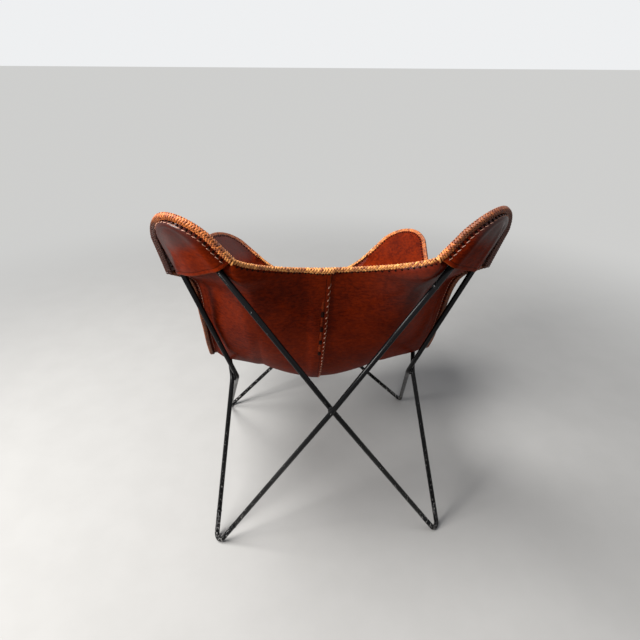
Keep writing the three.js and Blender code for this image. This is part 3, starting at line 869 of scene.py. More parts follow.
class Sling:
    """The leather sling: two panels that lap at the seam, and a pocket on each horn."""

    def __init__(self, frame: RodFrame, sizes: SlingSizes) -> None:
        """Works out the horns and the body's surface.

        Args:
            frame: the rods that carry it.
            sizes: the leather's sizes.
        """
        self.frame, self.sizes = frame, sizes
        s = sizes
        self.sling_lift = frame.rod_radius + s.rod_clearance + s.sling_thickness / 2
        self.pocket_lift = s.sling_thickness / 2 + s.leather_gap + s.pocket_thickness / 2
        self.horns = {
            key: Horn(bend, getattr(s, f"{key.split('_')[0]}_cut"), self.sling_lift, frame.seat_centre)
            for key, bend in frame.bows.items()
        }
        arc, leg = Horn.arc_share, Horn.whole - Horn.arc_share
        down = 1 - (1 - np.linspace(0, 1, s.leg_ribs)) ** s.rib_crowding
        self.places = np.concatenate([np.linspace(0, arc, s.arc_ribs), arc + leg * down[1:]])
        self.ribs = {key: self.lobe(horn) for key, horn in self.horns.items()}
        self.seam_curve = self.seam()
        left, self.spread = self.half_body(Side.LEFT)
        right, _ = self.half_body(Side.RIGHT)
        self.body = np.concatenate([right[:, :0:-1], left], axis=1)
        self.spread = np.concatenate([-self.spread[:0:-1], self.spread])
        self.lobes = {
            side: [self.ribs[f"rear_{side.word}"], self.ribs[f"front_{side.word}"][::-1]] for side in Side
        }
        self.lobes[Side.RIGHT] = [rib[:, ::-1] for rib in self.lobes[Side.RIGHT]]
        whole = Hide([Patch(g) for g in [self.body] + self.lobes[Side.LEFT] + self.lobes[Side.RIGHT]])
        self.outside = 1 if whole.normals[whole.grids[0][0, -1]][1] > 0 else -1
        self.out = whole.normals[whole.grids[0]] * self.outside
        self.waved = self.creased()
        self.lap = self.waved + self.lap_lift()[None, :, None] * self.out

    def curled(self, station: Stations, near: Points, share: Points) -> Points:
        """Places on leather that curls up towards its edge.

        Args:
            station: the stations.
            near: where the leather meets the rod at each.
            share: how far from the edge to there.

        Returns:
            The places.
        """
        dip = self.sizes.edge_curl * np.clip(station.lean / self.sizes.full_lean, 0, 1)
        drop = dip * 4 * share * (1 - share)
        share = np.asarray(share)[..., None] if np.ndim(share) else share
        return mix(station.edge, near, share) - drop[:, None] * station.facing

    def lobe(self, horn: Horn) -> Points:
        """The sling's leather over a horn: ribs across it, from the tip to the hem's line.

        Args:
            horn: the horn.

        Returns:
            The ribs.
        """
        a, b = horn.stations(-self.places), horn.stations(self.places)
        web = b.fold - a.fold
        width = np.linalg.norm(web, axis=1)
        halves = []
        for station, way in ((a, unit(web)), (b, -unit(web))):
            fillet = self.sling_lift * np.tan(np.maximum(station.lean, 0) / 2)
            fillet = np.maximum(fillet, self.sizes.least_fillet * (1 - ease(station.lean, 0.0, 0.12)))
            fillet = np.minimum(fillet, 0.45 * width)[:, None]
            away = unit(station.edge - station.fold)
            near, far = station.fold + away * fillet, station.fold + way * fillet
            run = [self.curled(station, near, t) for t in np.linspace(0, 1, 9)]
            for t in np.linspace(0, 1, 7)[1:]:
                run.append(near * (1 - t) ** 2 + 2 * station.fold * t * (1 - t) + far * t * t)
            halves.append(np.stack(run, axis=1))
        return self.webbed(halves, 17)

    def webbed(self, halves: list[Points], steps: int, puff: Points | float = 0.0) -> Points:
        """Whole ribs from their halves, with a web between, puffed out in its middle.

        Args:
            halves: both halves of each rib, from the edge inwards.
            steps: how many points the web is divided by, ends included.
            puff: how far each rib's middle moves.

        Returns:
            The ribs.
        """
        inner, outer = halves[0][:, -1], halves[1][:, -1]
        shares = np.linspace(0, 1, steps)[1:-1]
        web = np.stack([mix(inner, outer, t) + puff * 16 * (t * (1 - t)) ** 2 for t in shares], axis=1)
        return np.concatenate([halves[0], web, halves[1][:, ::-1]], axis=1)

    def end_border(self, middle: Points, key: str, side: Side) -> tuple[Points, Points]:
        """Half of the back or front border.

        Args:
            middle: where the seam ends.
            key: the horn's key.
            side: which half.

        Returns:
            The border from the seam across the horn, and how far along it each point lies.
        """
        s, horn = self.sizes, self.horns[key]
        near = horn.stations(np.array([-horn.whole, -horn.whole + 1])).edge
        out = middle + np.array([side.value * s.rim_runs[0], 0, 0])
        curve = bezier([middle, out, near[0] + unit(near[0] - near[1]) * s.rim_runs[1], near[0]], 200)
        length = lengths_along(curve)[-1]
        ends = (0, s.lap_half, s.lap_half + s.lap_ramp, length)
        stops = np.concatenate([np.linspace(a, b, n)[:-1] for a, b, n in zip(ends, ends[1:], (5, 9, 25))])
        border = np.concatenate([resampled(curve, stops / length), self.ribs[key][-1]])
        return border, lengths_along(border)

    def side_border(self, side: Side) -> Points:
        """The side edge of the sling between its pockets.

        Args:
            side: which side.

        Returns:
            Its points, one for each row of the body.
        """
        s = self.sizes
        rear, front = (self.horns[f"{kind}_{side.word}"] for kind in ("rear", "front"))
        ends = [h.stations(np.array([h.whole - 1, h.whole])).edge for h in (rear, front)]
        tuck_out = s.tuck[1] + (s.left_tuck_shift if side is Side.LEFT else 0)
        tuck = rear.bend.corner + rear.bend.dir_b * s.tuck[0]
        tuck = tuck + rear.out_b * tuck_out + rear.outward * s.tuck[2]
        sides = [(side.value * x + s.shift, -y, z) for x, y, z in s.side_edge]
        spans = centripetal(np.vstack([ends[0], tuck, np.array(sides), ends[1][::-1]]), 40)
        curve = np.concatenate([spans[1]] + [span[1:] for span in spans[2:-1]])
        return resampled(curve, np.linspace(0, 1, s.body_rows))

    def seam(self) -> Points:
        """The middle line that the seam follows, which drifts a little to the left on its way down.

        Returns:
            Its points, from the back to the front.
        """
        s = self.sizes
        places = (s.rim_mid, s.seat_low, s.front_mid)
        top, low, front = (np.array([s.shift, -reach, rise]) for reach, rise in places)
        fall = top + FORWARD * s.back_fall[0] - UP * s.back_fall[1]
        rise = front - FORWARD * s.front_rise[0] - UP * s.front_rise[1]
        back = bezier([top, fall, low - FORWARD * s.low_runs[0], low], 300)
        seat = bezier([low, low + FORWARD * s.low_runs[1], rise, front], 200)
        curve = np.concatenate([back, seat[1:]])
        down = lengths_along(curve)
        curve[:, 0] += s.seam_drift * np.sin(math.pi * down / down[-1])
        return curve

    def drawn_flat(self, points: Points, horn: Horn) -> Points:
        """Leather near a horn, drawn towards the flat that it has over the bow.

        Args:
            points: places on the leather.
            horn: the horn.

        Returns:
            The places, drawn.
        """
        fade = self.sizes.lobe_fade
        offset = points - horn.bend.corner
        inwards = offset @ horn.bend.inward
        beside = np.maximum(np.maximum(offset @ horn.out_a, offset @ horn.out_b), 0)
        hem = horn.reach * math.cos(horn.bend.half)
        hold = (1 - ease(inwards, hem, hem + fade)) * (1 - ease(beside, 0, fade))
        hold = np.where(inwards < 0, 0.0, hold)
        return points + (hold * (-self.sling_lift - offset @ horn.outward))[..., None] * horn.outward

    def rested(self, points: Points, start: Points, end: Points) -> Points:
        """Leather that lies near a rod from start to end, lifted onto the rod's seat side.

        Args:
            points: places on the leather.
            start: one end of the rod.
            end: the other.

        Returns:
            The places, lifted.
        """
        s, way = self.sizes, end - start
        share = np.clip((points - start) @ way / (way @ way), 0, 1)
        foot = start + share[..., None] * way
        inward = unit(without(np.array(s.seat_heart) - foot, unit(way)))
        height = dot(points - foot, inward)
        beside = np.linalg.norm(points - foot - height[..., None] * inward, axis=-1)
        drape = 2 * beside / s.rod_drape
        needed = s.rod_rest + self.sling_lift * (1 - drape * drape)
        return points + np.maximum(needed - height, 0)[..., None] * inward

    def half_body(self, side: Side) -> tuple[Points, Points]:
        """One half of the body between its seam and its side edge.

        Args:
            side: which half.

        Returns:
            Rows from the back to the front, and each column's distance from the seam.
        """
        s = self.sizes
        keys = [f"{kind}_{side.word}" for kind in ("rear", "front")]
        seam = resampled(self.seam_curve, np.linspace(0, 1, s.body_rows))
        rim, spread = self.end_border(self.seam_curve[0], keys[0], side)
        lip, _ = self.end_border(self.seam_curve[-1], keys[1], side)
        edge = self.side_border(side)
        across = (spread / spread[-1])[:, None]
        down = np.linspace(0, 1, s.body_rows)[:, None, None]

        def hung(at_seam: Points, at_edge: Points) -> Points:
            """Points between the seam and the side edge, lower than halfway."""
            points = mix(at_seam, at_edge, across**s.roundness)
            points[..., 0] = mix(at_seam[..., 0], at_edge[..., 0], across[:, 0])
            return points

        points = hung(seam[:, None, :], edge[:, None, :])
        points += (rim - hung(rim[0], rim[-1])) * (1 - down) ** s.border_fade
        points += (lip - hung(lip[0], lip[-1])) * down**s.border_fade
        rear, front = (self.horns[key] for key in keys)
        cross = self.frame.beside[side]
        points = self.drawn_flat(self.drawn_flat(points, rear), front)
        points = self.rested(points, cross.inner, rear.bend.corner)
        points = self.rested(points, cross.outer, front.bend.corner)
        points[0], points[-1], points[:, 0], points[:, -1] = rim, lip, seam, edge
        return points, spread

    def creased(self) -> Points:
        """The body with the shallow waves of hung leather, which fade at its borders.

        Returns:
            Its points.
        """
        s = self.sizes
        down = np.linspace(0, 1, s.body_rows)[:, None]
        beside = np.abs(self.spread)[None, :]
        fade = ease(down, 0, s.calm_rows[0]) * (1 - ease(down, s.calm_rows[1], 1.0))
        fade = fade * ease(beside, *s.calm_seam) * (1 - ease(beside, *s.calm_edge))
        wave = crease_noise(self.body * np.array(s.crease_stretch), s.crease_width, 4.2)
        return self.body + (fade * wave * s.crease_height)[..., None] * self.out

    def column(self, distance: float) -> int:
        """The body's column nearest to a distance from the middle line."""
        return int(np.argmin(np.abs(self.spread - distance)))

    def lap_lift(self) -> Points:
        """How far the left panel stands off at each column, to lap over the right one.

        Returns:
            A height for each column.
        """
        s = self.sizes
        beside = self.spread - s.seam_offset
        lift = (s.sling_thickness + s.leather_gap) * (1 - ease(beside, s.lap_half, s.lap_half + s.lap_ramp))
        return np.where(self.spread < s.seam_offset - s.lap_half - 6, 0.0, lift)

    def panels(self) -> dict[Side, Hide]:
        """The two panels; the left one laps over the outside of the right one.

        Returns:
            A sheet for each side.
        """
        s = self.sizes
        left = self.lap[:, self.column(s.seam_offset - s.lap_half) :]
        right = self.waved[:, : self.column(s.seam_offset + s.lap_half) + 1]
        hides = {}
        for side, grid, lobe_shade, patch_strength in zip(Side, (left, right), s.front_worn, (0.0, s.stain)):
            rear, front = self.lobes[side]
            # Painted shade on the front lobes, growing from their hems.
            up = ease(np.arange(len(front)), 0, len(front) / 3)[:, None]
            # A painted sheen patch on the right panel: darker, with more coat.
            place = self.body[s.stain_row, self.column(side.value * s.stain_out)]
            stain = patch_strength * hump(np.linalg.norm(grid - place, axis=2), 0.0, s.stain_reach)
            hides[side] = Hide([Patch(grid, burnish=stain), Patch(rear), Patch(front, burnish=up * lobe_shade)])
        return hides

    def panel_flat(self, side: Side) -> Pair:
        """The rectangle that a panel was cut from, in metres: across the seat and from horn to horn.

        Args:
            side: which panel.

        Returns:
            Both lengths.
        """
        body = self.body if side is Side.LEFT else self.body[:, ::-1]
        column = body.shape[1] - self.ribs[f"rear_{side.word}"].shape[1] // 2
        wide = float(self.spread[-1]) + self.sizes.lap_half
        run = [body[:, column]] + [lobe[:, lobe.shape[1] // 2] for lobe in self.lobes[side]]
        long = sum(float(lengths_along(part)[-1]) for part in run)
        return round(wide * MM, 3), round(long * MM, 3)

    def pocket_half(self, horn: Horn, sign: int) -> Points:
        """Half of a pocket's ribs: from the edge to the rod, and over its ridge.

        Args:
            horn: the horn.
            sign: -1 for the half on the middle's side, 1 for the outer one.

        Returns:
            The half ribs, from the tip to the hem.
        """
        s = self.sizes
        wrap = self.frame.rod_radius + s.rod_clearance + s.pocket_thickness / 2
        st = horn.stations(sign * self.places)
        lift = st.facing * self.pocket_lift
        bent = np.clip(st.lean / s.full_lean, 0, 1)
        flat = mix(s.edge_flat / np.linalg.norm(st.fold - st.edge, axis=1), s.bent_flat, bent)
        inner = self.curled(st, st.fold, flat) + lift
        out, up = dot(inner - st.on, st.out), (inner - st.on) @ horn.outward
        most = (out**2 + (wrap - up) ** 2) / (2 * np.maximum(wrap - up, 0.5))
        round_ = ease(self.places, *s.round_start) * (1 - bent)
        if sign > 0:
            round_ = round_ * (1 - ease(self.places, *s.round_end))
        radius = np.maximum(np.minimum(mix(wrap, s.shoulder, round_), s.largest_round * most), wrap)
        sunk = up - wrap + radius
        touch = np.arctan2(sunk, out) + np.arccos(np.clip(radius / np.hypot(out, sunk), -1, 1))
        start = np.minimum(touch, math.radians(s.steepest_touch))

        def on_ridge(angle: Points) -> Points:
            """A point of the fold round the rod."""
            c, n = radius * np.cos(angle), radius * (np.sin(angle) - 1) + wrap
            return st.on + c[:, None] * st.out + n[:, None] * horn.outward

        run = [self.curled(st, st.fold, flat * t) + lift for t in np.linspace(0, 1, 7)]
        run += [mix(inner, on_ridge(start), t) for t in np.linspace(0, 1, 6)[1:]]
        run += [on_ridge(mix(start, math.pi / 2, t)) for t in np.linspace(0, 1, 8)[1:]]
        return np.stack(run, axis=1)

    def pocket(self, key: str) -> Points:
        """The leather of a pocket: ribs across the horn from the tip to the hem.

        Args:
            key: the horn's key.

        Returns:
            The ribs.
        """
        s, horn = self.sizes, self.horns[key]
        halves = [self.pocket_half(horn, sign) for sign in (-1, 1)]
        puff = s.pocket_puff * self.places / horn.whole * ease(self.places, 0, 0.45 * horn.whole)
        ribs = self.webbed(halves, s.pocket_web, puff[:, None] * horn.outward)
        if key == s.creased_pocket:
            shares = np.linspace(0, 1, s.pocket_web)[1:-1]
            fold = s.pocket_ridge * hump(shares, *s.ridge_place) - s.pocket_dent * hump(shares, *s.dent_place)
            near = halves[0].shape[1]
            down = ease(self.places, 2.0, 6.5)[:, None]
            ribs[:, near : near + len(shares)] += (down * fold)[..., None] * horn.outward
        return ribs

    def burnished(self, ribs: Points) -> Points:
        """How much painted shade a pocket has: on its outer flank beside the ridge, where it faces away from
        the light, and darker towards its tip.

        Args:
            ribs: the pocket's ribs.

        Returns:
            A share from 0 to 1 for each point.
        """
        s = self.sizes
        lengths = np.array([lengths_along(rib) for rib in ribs])
        ridge = (ribs.shape[1] + s.pocket_web) // 2 - 1
        inside = lengths[:, ridge : ridge + 1] - lengths
        down = lengths_along(ribs[:, ribs.shape[1] // 2])
        down = (down / down[-1])[:, None] + 0.05 * crease_noise(ribs, 22.0, 8.1)
        border = s.burnish_inset * (1 - ease(down, s.burnish_low, 1.0)) + 4 * crease_noise(ribs, 14.0, 2.7)
        flank = 1 - ease(inside, border - s.burnish_blend, border + s.burnish_blend)
        across = np.linspace(-1, 1, ribs.shape[1])
        return np.maximum(flank, s.tip_burnish * (1 - ease(down - s.tip_slant * across, *s.tip_fade)))

    def pocket_hide(self, key: str) -> tuple[Hide, Points]:
        """A pocket's sheet, with its folded hem, and its ribs.

        Args:
            key: the horn's key.

        Returns:
            Both.
        """
        s, horn, ribs = self.sizes, self.horns[key], self.pocket(key)
        reach = horn.reach - horn.bend.run
        beyond = (horn.whole - self.places) / (horn.whole - horn.arc_share) * reach - s.hem_width
        proud = s.hem_proud * (1 - ease(beyond, -1.2, 0.6)) - s.groove_depth * hump(beyond, *s.groove_place)
        return Hide([Patch(ribs, proud[:, None], self.burnished(ribs))]), ribs


@dataclass
class EdgePath:
    """A run of leather edge that lacing wraps: places, two ways, the leather's faces, and how much painted
    shade its lacing has.
    """

    at: Points
    inward: Points
    facing: Points
    low: Points
    high: Points
    soil: Points
    beside: list[tuple[Points, Points]]

    def __post_init__(self) -> None:
        """Measures the run."""
        self.lengths = lengths_along(self.at)
        self.length = float(self.lengths[-1])

    def faces(self, inset: float) -> list[tuple[Points, Points]]:
        """Where each face of the leather lies at a distance in from the edge, and how it faces there.

        Args:
            inset: the distance.

        Returns:
            Points and ways for each face.
        """
        found = []
        for rows, ways in self.beside:
            lengths = [lengths_along(row) for row in rows]
            line, normals = (
                np.array([along(inset, *run) for run in zip(lengths, grid)]) for grid in (rows, ways)
            )
            found.append((line, unit(normals)))
        return found

    def sample(self, places: Points) -> tuple[Points, Points, Points, Points, Points]:
        """The run's places, ways and faces at distances along it, carried on straight past its ends.

        Args:
            places: the distances.

        Returns:
            Places, both ways, and the heights of both faces.
        """
        past = (np.minimum(places, 0) + np.maximum(places - self.length, 0))[:, None]
        places = np.clip(places, 0, self.length)
        first, last = unit(self.at[1] - self.at[0]), unit(self.at[-1] - self.at[-2])
        at, inward, facing = (along(places, self.lengths, v) for v in (self.at, self.inward, self.facing))
        low, high = (np.interp(places, self.lengths, v) for v in (self.low, self.high))
        return at + past * np.where(past < 0, first, last), unit(inward), unit(facing), low, high


def slit(middle: Points, way: Points, normal: Points, half: float, wide: float) -> Form:
    """A dark lens with round corners that lies on leather: painted shade that stands for a slot.

    Args:
        middle: its place on the surface.
        way: the way that it runs.
        normal: the way that the surface faces.
        half: half of its length.
        wide: half of its width.

    Returns:
        A low lens.
    """
    count, squareness = 16, 0.6
    turn = around(count)
    c, n = (np.sign(v) * np.abs(v) ** squareness for v in (np.cos(turn), np.sin(turn)))
    ring = middle + np.outer(c * half, way) + np.outer(n * wide, np.cross(normal, way))
    faces = []
    for k in range(count):
        after = (k + 1) % count
        faces += [(k, after, count), (after, k, count + 1)]
    return Form(np.vstack([ring + 0.18 * normal, middle + 0.35 * normal, middle - 0.6 * normal]), faces)


@dataclass
class Lacing:
    """A braid of flat thongs that wraps an edge. Sizes are in millimetres; turn is a share of a wrap."""

    pitch: float = 5.2
    width: float = 3.9
    thickness: float = 1.4
    reach: float = 9.8
    weave: float = 0.55
    bulge: float = 0.9
    turn: float = 0.27
    advance: float = 3.0
    overlap: float = 0.0
    wander: float = 0.4
    dive: float = 0.9
    dive_share: float = 0.09
    pinch: float = 0.35
    slot_inset: float = 13.0
    slot_long: float = 2.6
    slot_wide: float = 2.5
    steps: int = 25
    seed: int = 5
    section: tuple[Pair, ...] = ((-1.0, -0.3), (-0.68, 0.75), (0.0, 1.0), (0.68, 0.75), (1.0, -0.3))

    def wrapped(self, t: Points, low: Points, high: Points, lift: Points) -> tuple[Points, Points]:
        """Where a thong runs round the edge.

        Args:
            t: shares of its way from the outer face to the inner one.
            low: the inner face's height.
            high: the outer face's height.
            lift: how far the thong's middle stands off the leather.

        Returns:
            How far inwards and how high it lies, and its normal in the same two ways.
        """
        first = 0.5 - self.turn / 2
        angle = np.clip((t - first) / self.turn, 0, 1) * math.pi
        flat = np.maximum(np.abs(t - 0.5) - self.turn / 2, 0) / first
        c, s, half, middle = np.cos(angle), np.sin(angle), (high - low) / 2, (high + low) / 2
        normal = unit(np.stack([-s * (half + 0.5), c * (self.bulge + 0.5)], axis=1))
        place = np.stack([flat * self.reach - s * self.bulge, middle + c * half], axis=1)
        return place + normal * lift[:, None], normal

    def thong(self, path: EdgePath, start: float, sense: int, tint: float) -> Form:
        """One wrap of thong.

        Args:
            path: the edge.
            start: where its middle crosses the edge.
            sense: 1 or -1, the way that it slants.
            tint: its own shade, from 0 to 1.

        Returns:
            The wrap.
        """
        t = np.linspace(0, 1, self.steps)
        at, inward, facing, low, high = path.sample(start + sense * (t - 0.5) * self.advance * self.pitch)
        over = sense * np.sin(2 * math.pi * self.advance * (t - 0.5))
        sunk = 1 - ease(np.minimum(t, 1 - t), 0.0, self.dive_share)
        lift = (self.thickness / 2 + self.weave * (1 + over)) * (1 - sunk) - self.dive * sunk
        place, normal = self.wrapped(t, low, high, lift)
        middle = at + inward * place[:, :1] + facing * place[:, 1:]
        normal = unit(inward * normal[:, :1] + facing * normal[:, 1:])
        way = unit(np.gradient(middle, axis=0))
        across = unit(np.cross(normal, way))
        normal = np.cross(way, across) * self.thickness / 2
        across = across * (1 - self.pinch * sunk[:, None]) * self.width / 2
        rings = [middle + x * across + z * normal for x, z in self.section]
        form = Form.lofted(np.stack(rings, axis=1), turned=True)
        # The painted shade of the lacing where this wrap crosses the edge.
        soil = float(np.interp(start, path.lengths, path.soil))
        form.marks = {name: np.full(len(form.points), v) for name, v in (("tint", tint), ("soil", soil))}
        form.marks["rim"] = np.tile([abs(x) for x, _ in self.section], self.steps)
        return form

    def starts(self, path: EdgePath) -> tuple[Points, float]:
        """Where wraps cross an edge, and how far apart they are.

        Args:
            path: the edge.

        Returns:
            Both.
        """
        long = path.length + 2 * self.overlap
        count = 2 * round(long / self.pitch / 2)
        step = long / count
        return (np.arange(count) + 0.5) * step - self.overlap, step

    def braid(self, path: EdgePath) -> Form:
        """The whole braid along an edge.

        Args:
            path: the edge.

        Returns:
            The braid.
        """
        random = np.random.default_rng(self.seed)
        starts, step = self.starts(path)
        forms = []
        for middle in starts:
            for sense in (1, -1):
                start = middle - sense * step / 4 + random.normal(0, self.wander)
                forms.append(self.thong(path, start, sense, float(random.random() ** 0.8)))
        return Form.joined(forms)

    def slots(self, path: EdgePath, line: Points, normals: Points) -> list[Form]:
        """Painted shade for the slots that the thongs pass through, one for two wraps.

        Args:
            path: the edge.
            line: points on a face of the leather beside the edge's own points, where the slots lie.
            normals: the way that the face faces at each.

        Returns:
            The slots.
        """
        forms = []
        for place in self.starts(path)[0][::2]:
            at, normal = (along(place, path.lengths, values) for values in (line, normals))
            _, inward, facing, _, _ = (v[0] for v in path.sample(np.array([place])))
            way = unit(np.cross(facing, inward))
            forms.append(slit(at, way, unit(normal), self.slot_long, self.slot_wide))
        return forms


HORN_LACING = Lacing()
EDGE_LACING = Lacing(pitch=5.8, reach=6.3, overlap=4.0, slot_inset=8.9, slot_long=2.3, slot_wide=1.8)


@dataclass
class Stitching:
    """A row of thread stitches. Sizes are in millimetres."""

    pitch: float
    radius: float
    lift: float = 0.45
    length: float = 4.6
    dive: float = 0.9
    steps: int = 7
    sides: int = 6

    def stitch(self, start: Points, end: Points, normal: Points) -> Form:
        """One stitch that dives into the leather at both ends.

        Args:
            start: where it starts.
            end: where it ends.
            normal: the way that the leather faces.

        Returns:
            The stitch.
        """
        t = np.linspace(0, 1, self.steps)[:, None]
        height = self.lift * np.sin(math.pi * t) ** 0.5 - self.dive * (np.abs(2 * t - 1) ** 6)
        middle = mix(start, end, t) + height * normal
        radii = self.radius * (0.75 + 0.25 * np.sin(math.pi * t[:, 0]))
        return tube(middle, np.gradient(middle, axis=0), radii, self.sides)

    def sewn(self, lines: list[Points], normals: Points, starts: Points, run: float) -> Form:
        """Stitches from one line to another.

        Args:
            lines: points where stitches start and points where they end, side by side.
            normals: the way that the surface faces at each.
            starts: how far along the lines the stitches start.
            run: how far along them each one goes.

        Returns:
            The stitches.
        """
        lengths = lengths_along(lines[0])
        forms = []
        for start in starts:
            ends = [along(place, lengths, line) for place, line in zip((start, start + run), lines)]
            nearest = int(np.argmin(np.abs(lengths - start - run / 2)))
            forms.append(self.stitch(*ends, normals[nearest]))
        return Form.joined(forms)

    def row(self, line: Points, normals: Points) -> Form:
        """Stitches end to end along a line on the leather, with the way that it faces at each point."""
        count = int(lengths_along(line)[-1] / self.pitch)
        return self.sewn([line, line], normals, self.pitch * np.arange(count) + 0.5, self.length)

    def ladder(self, line_a: Points, line_b: Points, normals: Points, lean: float) -> Form:
        """Stitches from one line to another, which start some lean before their middles and end after."""
        count = int(lengths_along(line_a)[-1] / self.pitch)
        return self.sewn([line_a, line_b], normals, self.pitch * np.arange(1, count) - lean, 2 * lean)


def node_group(name: str, inputs: dict[str, float | Row], outputs: dict[str, str]) -> bpy.types.NodeTree:
    """A new shader node group.

    Args:
        name: its name.
        inputs: each input and its value, a number or a colour.
        outputs: each output and its socket type.

    Returns:
        The group, with an input and an output node named In and Out.
    """
    group = bpy.data.node_groups.new(name, "ShaderNodeTree")
    for key, value in inputs.items():
        kind = "NodeSocketColor" if isinstance(value, tuple) else "NodeSocketFloat"
        socket = group.interface.new_socket(key, in_out="INPUT", socket_type=kind)
        socket.default_value = (*value, 1.0) if isinstance(value, tuple) else value
    for key, kind in outputs.items():
        group.interface.new_socket(key, in_out="OUTPUT", socket_type=kind)
    group.nodes.new("NodeGroupInput").name = "In"
    group.nodes.new("NodeGroupOutput").name = "Out"
    return group


class Wiring:
    """Short ways to add and join nodes in one tree."""

    def __init__(self, tree: bpy.types.NodeTree) -> None:
        """Keeps the tree."""
        self.tree = tree

    def add(self, kind: str, tree: bpy.types.NodeTree | None = None, **inputs: object) -> bpy.types.Node:
        """Adds a node.

        Args:
            kind: its type.
            tree: what it holds, if it is a group.
            inputs: values or output sockets for its inputs, with _ for a space in the name.

        Returns:
            The node.
        """
        node = self.tree.nodes.new(f"ShaderNode{kind}")
        if tree:
            node.node_tree = tree
        for key, value in inputs.items():
            self.feed(node.inputs[key.replace("_", " ")], value)
        return node

    def feed(self, socket: bpy.types.NodeSocket, value: object) -> None:
        """Links an output to a socket, or sets the socket's value.

        Args:
            socket: the input.
            value: an output, a number or a colour.
        """
        if isinstance(value, bpy.types.NodeSocket):
            self.tree.links.new(value, socket)
        elif isinstance(value, tuple) and len(value) == 3 and socket.type == "RGBA":
            socket.default_value = (*value, 1.0)
        else:
            socket.default_value = value

    def math(self, operation: str, a: object, b: object) -> bpy.types.NodeSocket:
        """A math node's result.

        Args:
            operation: its name.
            a: the first value.
            b: the second.

        Returns:
            The output.
        """
        node = self.add("Math")
        node.operation = operation
        self.feed(node.inputs[0], a)
        self.feed(node.inputs[1], b)
        return node.outputs[0]

    def times(self, a: object, b: object) -> bpy.types.NodeSocket:
        """The product of two values."""
        return self.math("MULTIPLY", a, b)

    def plus(self, a: object, b: object) -> bpy.types.NodeSocket:
        """The sum of two values."""
        return self.math("ADD", a, b)

    def rest(self, value: object) -> bpy.types.NodeSocket:
        """What is missing from a value to 1."""
        return self.math("SUBTRACT", 1.0, value)

    def blend(self, share: object, a: object, b: object) -> bpy.types.NodeSocket:
        """Two colours mixed.

        Args:
            share: how much of the second.
            a: the first.
            b: the second.

        Returns:
            The output.
        """
        node = self.add("Mix")
        node.data_type = "RGBA"
        self.feed(node.inputs["Factor"], share)
        self.feed(node.inputs[6], a)
        self.feed(node.inputs[7], b)
        return node.outputs[2]

    def between(self, value: object, low: float, high: float) -> bpy.types.NodeSocket:
        """A smooth 0 to 1 between two values."""
        node = self.add("MapRange", Value=value, From_Min=low, From_Max=high)
        node.interpolation_type = "SMOOTHSTEP"
        return node.outputs["Result"]

    def noise(
        self, scale: object, detail: float, vector: object, rough: float = 0.55
    ) -> bpy.types.NodeSocket:
        """Noise over places in metres."""
        return self.add("TexNoise", Scale=scale, Detail=detail, Roughness=rough, Vector=vector).outputs[0]

    def stretched(self, vector: object, *scale: float) -> bpy.types.NodeSocket:
        """Places scaled by a factor for each axis."""
        return self.add("Mapping", Vector=vector, Scale=scale).outputs[0]

    def bump(self, strength: float, distance: float, height: object) -> bpy.types.NodeSocket:
        """The surface's normal, bent by a height."""
        return self.add("Bump", Strength=strength, Distance=distance, Height=height).outputs[0]

    def mark(self, name: str) -> bpy.types.NodeSocket:
        """One of the mesh's own marks."""
        node = self.add("Attribute")
        node.attribute_name = name
        return node.outputs["Fac"]

    def place(self) -> bpy.types.NodeSocket:
        """Where the surface is, in the object's own frame."""
        return self.add("TexCoord").outputs["Object"]

    def straight_rays(self) -> bpy.types.NodeSocket:
        """1 for rays from the camera, off a gloss or through glass, and 0 for those that light a surface."""
        rays = self.add("LightPath").outputs
        other = self.math("MAXIMUM", rays["Is Glossy Ray"], rays["Is Transmission Ray"])
        return self.math("MAXIMUM", rays["Is Camera Ray"], other)

    def choose(self, end: bpy.types.Node, share: object, a: object, b: object) -> None:
        """Ends the tree with a mix of two shaders.

        Args:
            end: the output node.
            share: how much of the second.
            a: the first.
            b: the second.
        """
        node = self.add("MixShader")
        for socket, value in zip(node.inputs, (share, a, b)):
            self.feed(socket, value)
        self.feed(end.inputs["Surface"], node.outputs[0])


def hide_grain() -> bpy.types.NodeTree:
    """The node group for leather: pores, creases and uneven dye.

    Returns:
        The group.
    """
    group = node_group(
        "hide_grain",
        {"Deep": (0.1, 0.02, 0.01), "Fair": (0.3, 0.08, 0.03), "Grain": 900.0, "Cloud": 9.0, "Wear": 0.0},
        {"Color": "NodeSocketColor", "Gloss": "NodeSocketFloat", "Height": "NodeSocketFloat"},
    )
    w, source, out = Wiring(group), group.nodes["In"].outputs, group.nodes["Out"].inputs
    place = w.place()
    cloud = w.between(w.noise(source["Cloud"], 5.0, place, 0.6), 0.34, 0.66)
    fine = w.noise(85.0, 4.0, place, 0.65)
    pores = w.add("TexVoronoi", Vector=place, Scale=source["Grain"]).outputs["Distance"]
    hairs = w.noise(1.0, 3.0, w.stretched(place, 60.0, 60.0, 14.0), 0.6)
    mottle = w.between(w.noise(1.0, 4.0, w.stretched(place, 95.0, 95.0, 190.0), 0.75), 0.38, 0.62)
    uneven = w.plus(w.plus(w.times(cloud, 0.4), w.times(hairs, 0.2)), w.times(mottle, 0.4))
    colour = w.blend(uneven, source["Deep"], source["Fair"])
    colour = w.blend(w.times(w.rest(w.between(fine, 0.25, 0.75)), 0.34), colour, (0.022, 0.003, 0.001))
    w.feed(out["Color"], w.blend(w.times(source["Wear"], 0.55), colour, source["Fair"]))
    w.feed(out["Gloss"], w.plus(0.36, w.times(fine, 0.22)))
    w.feed(out["Height"], w.plus(w.times(pores, 0.5), w.times(fine, 0.9)))
    return group


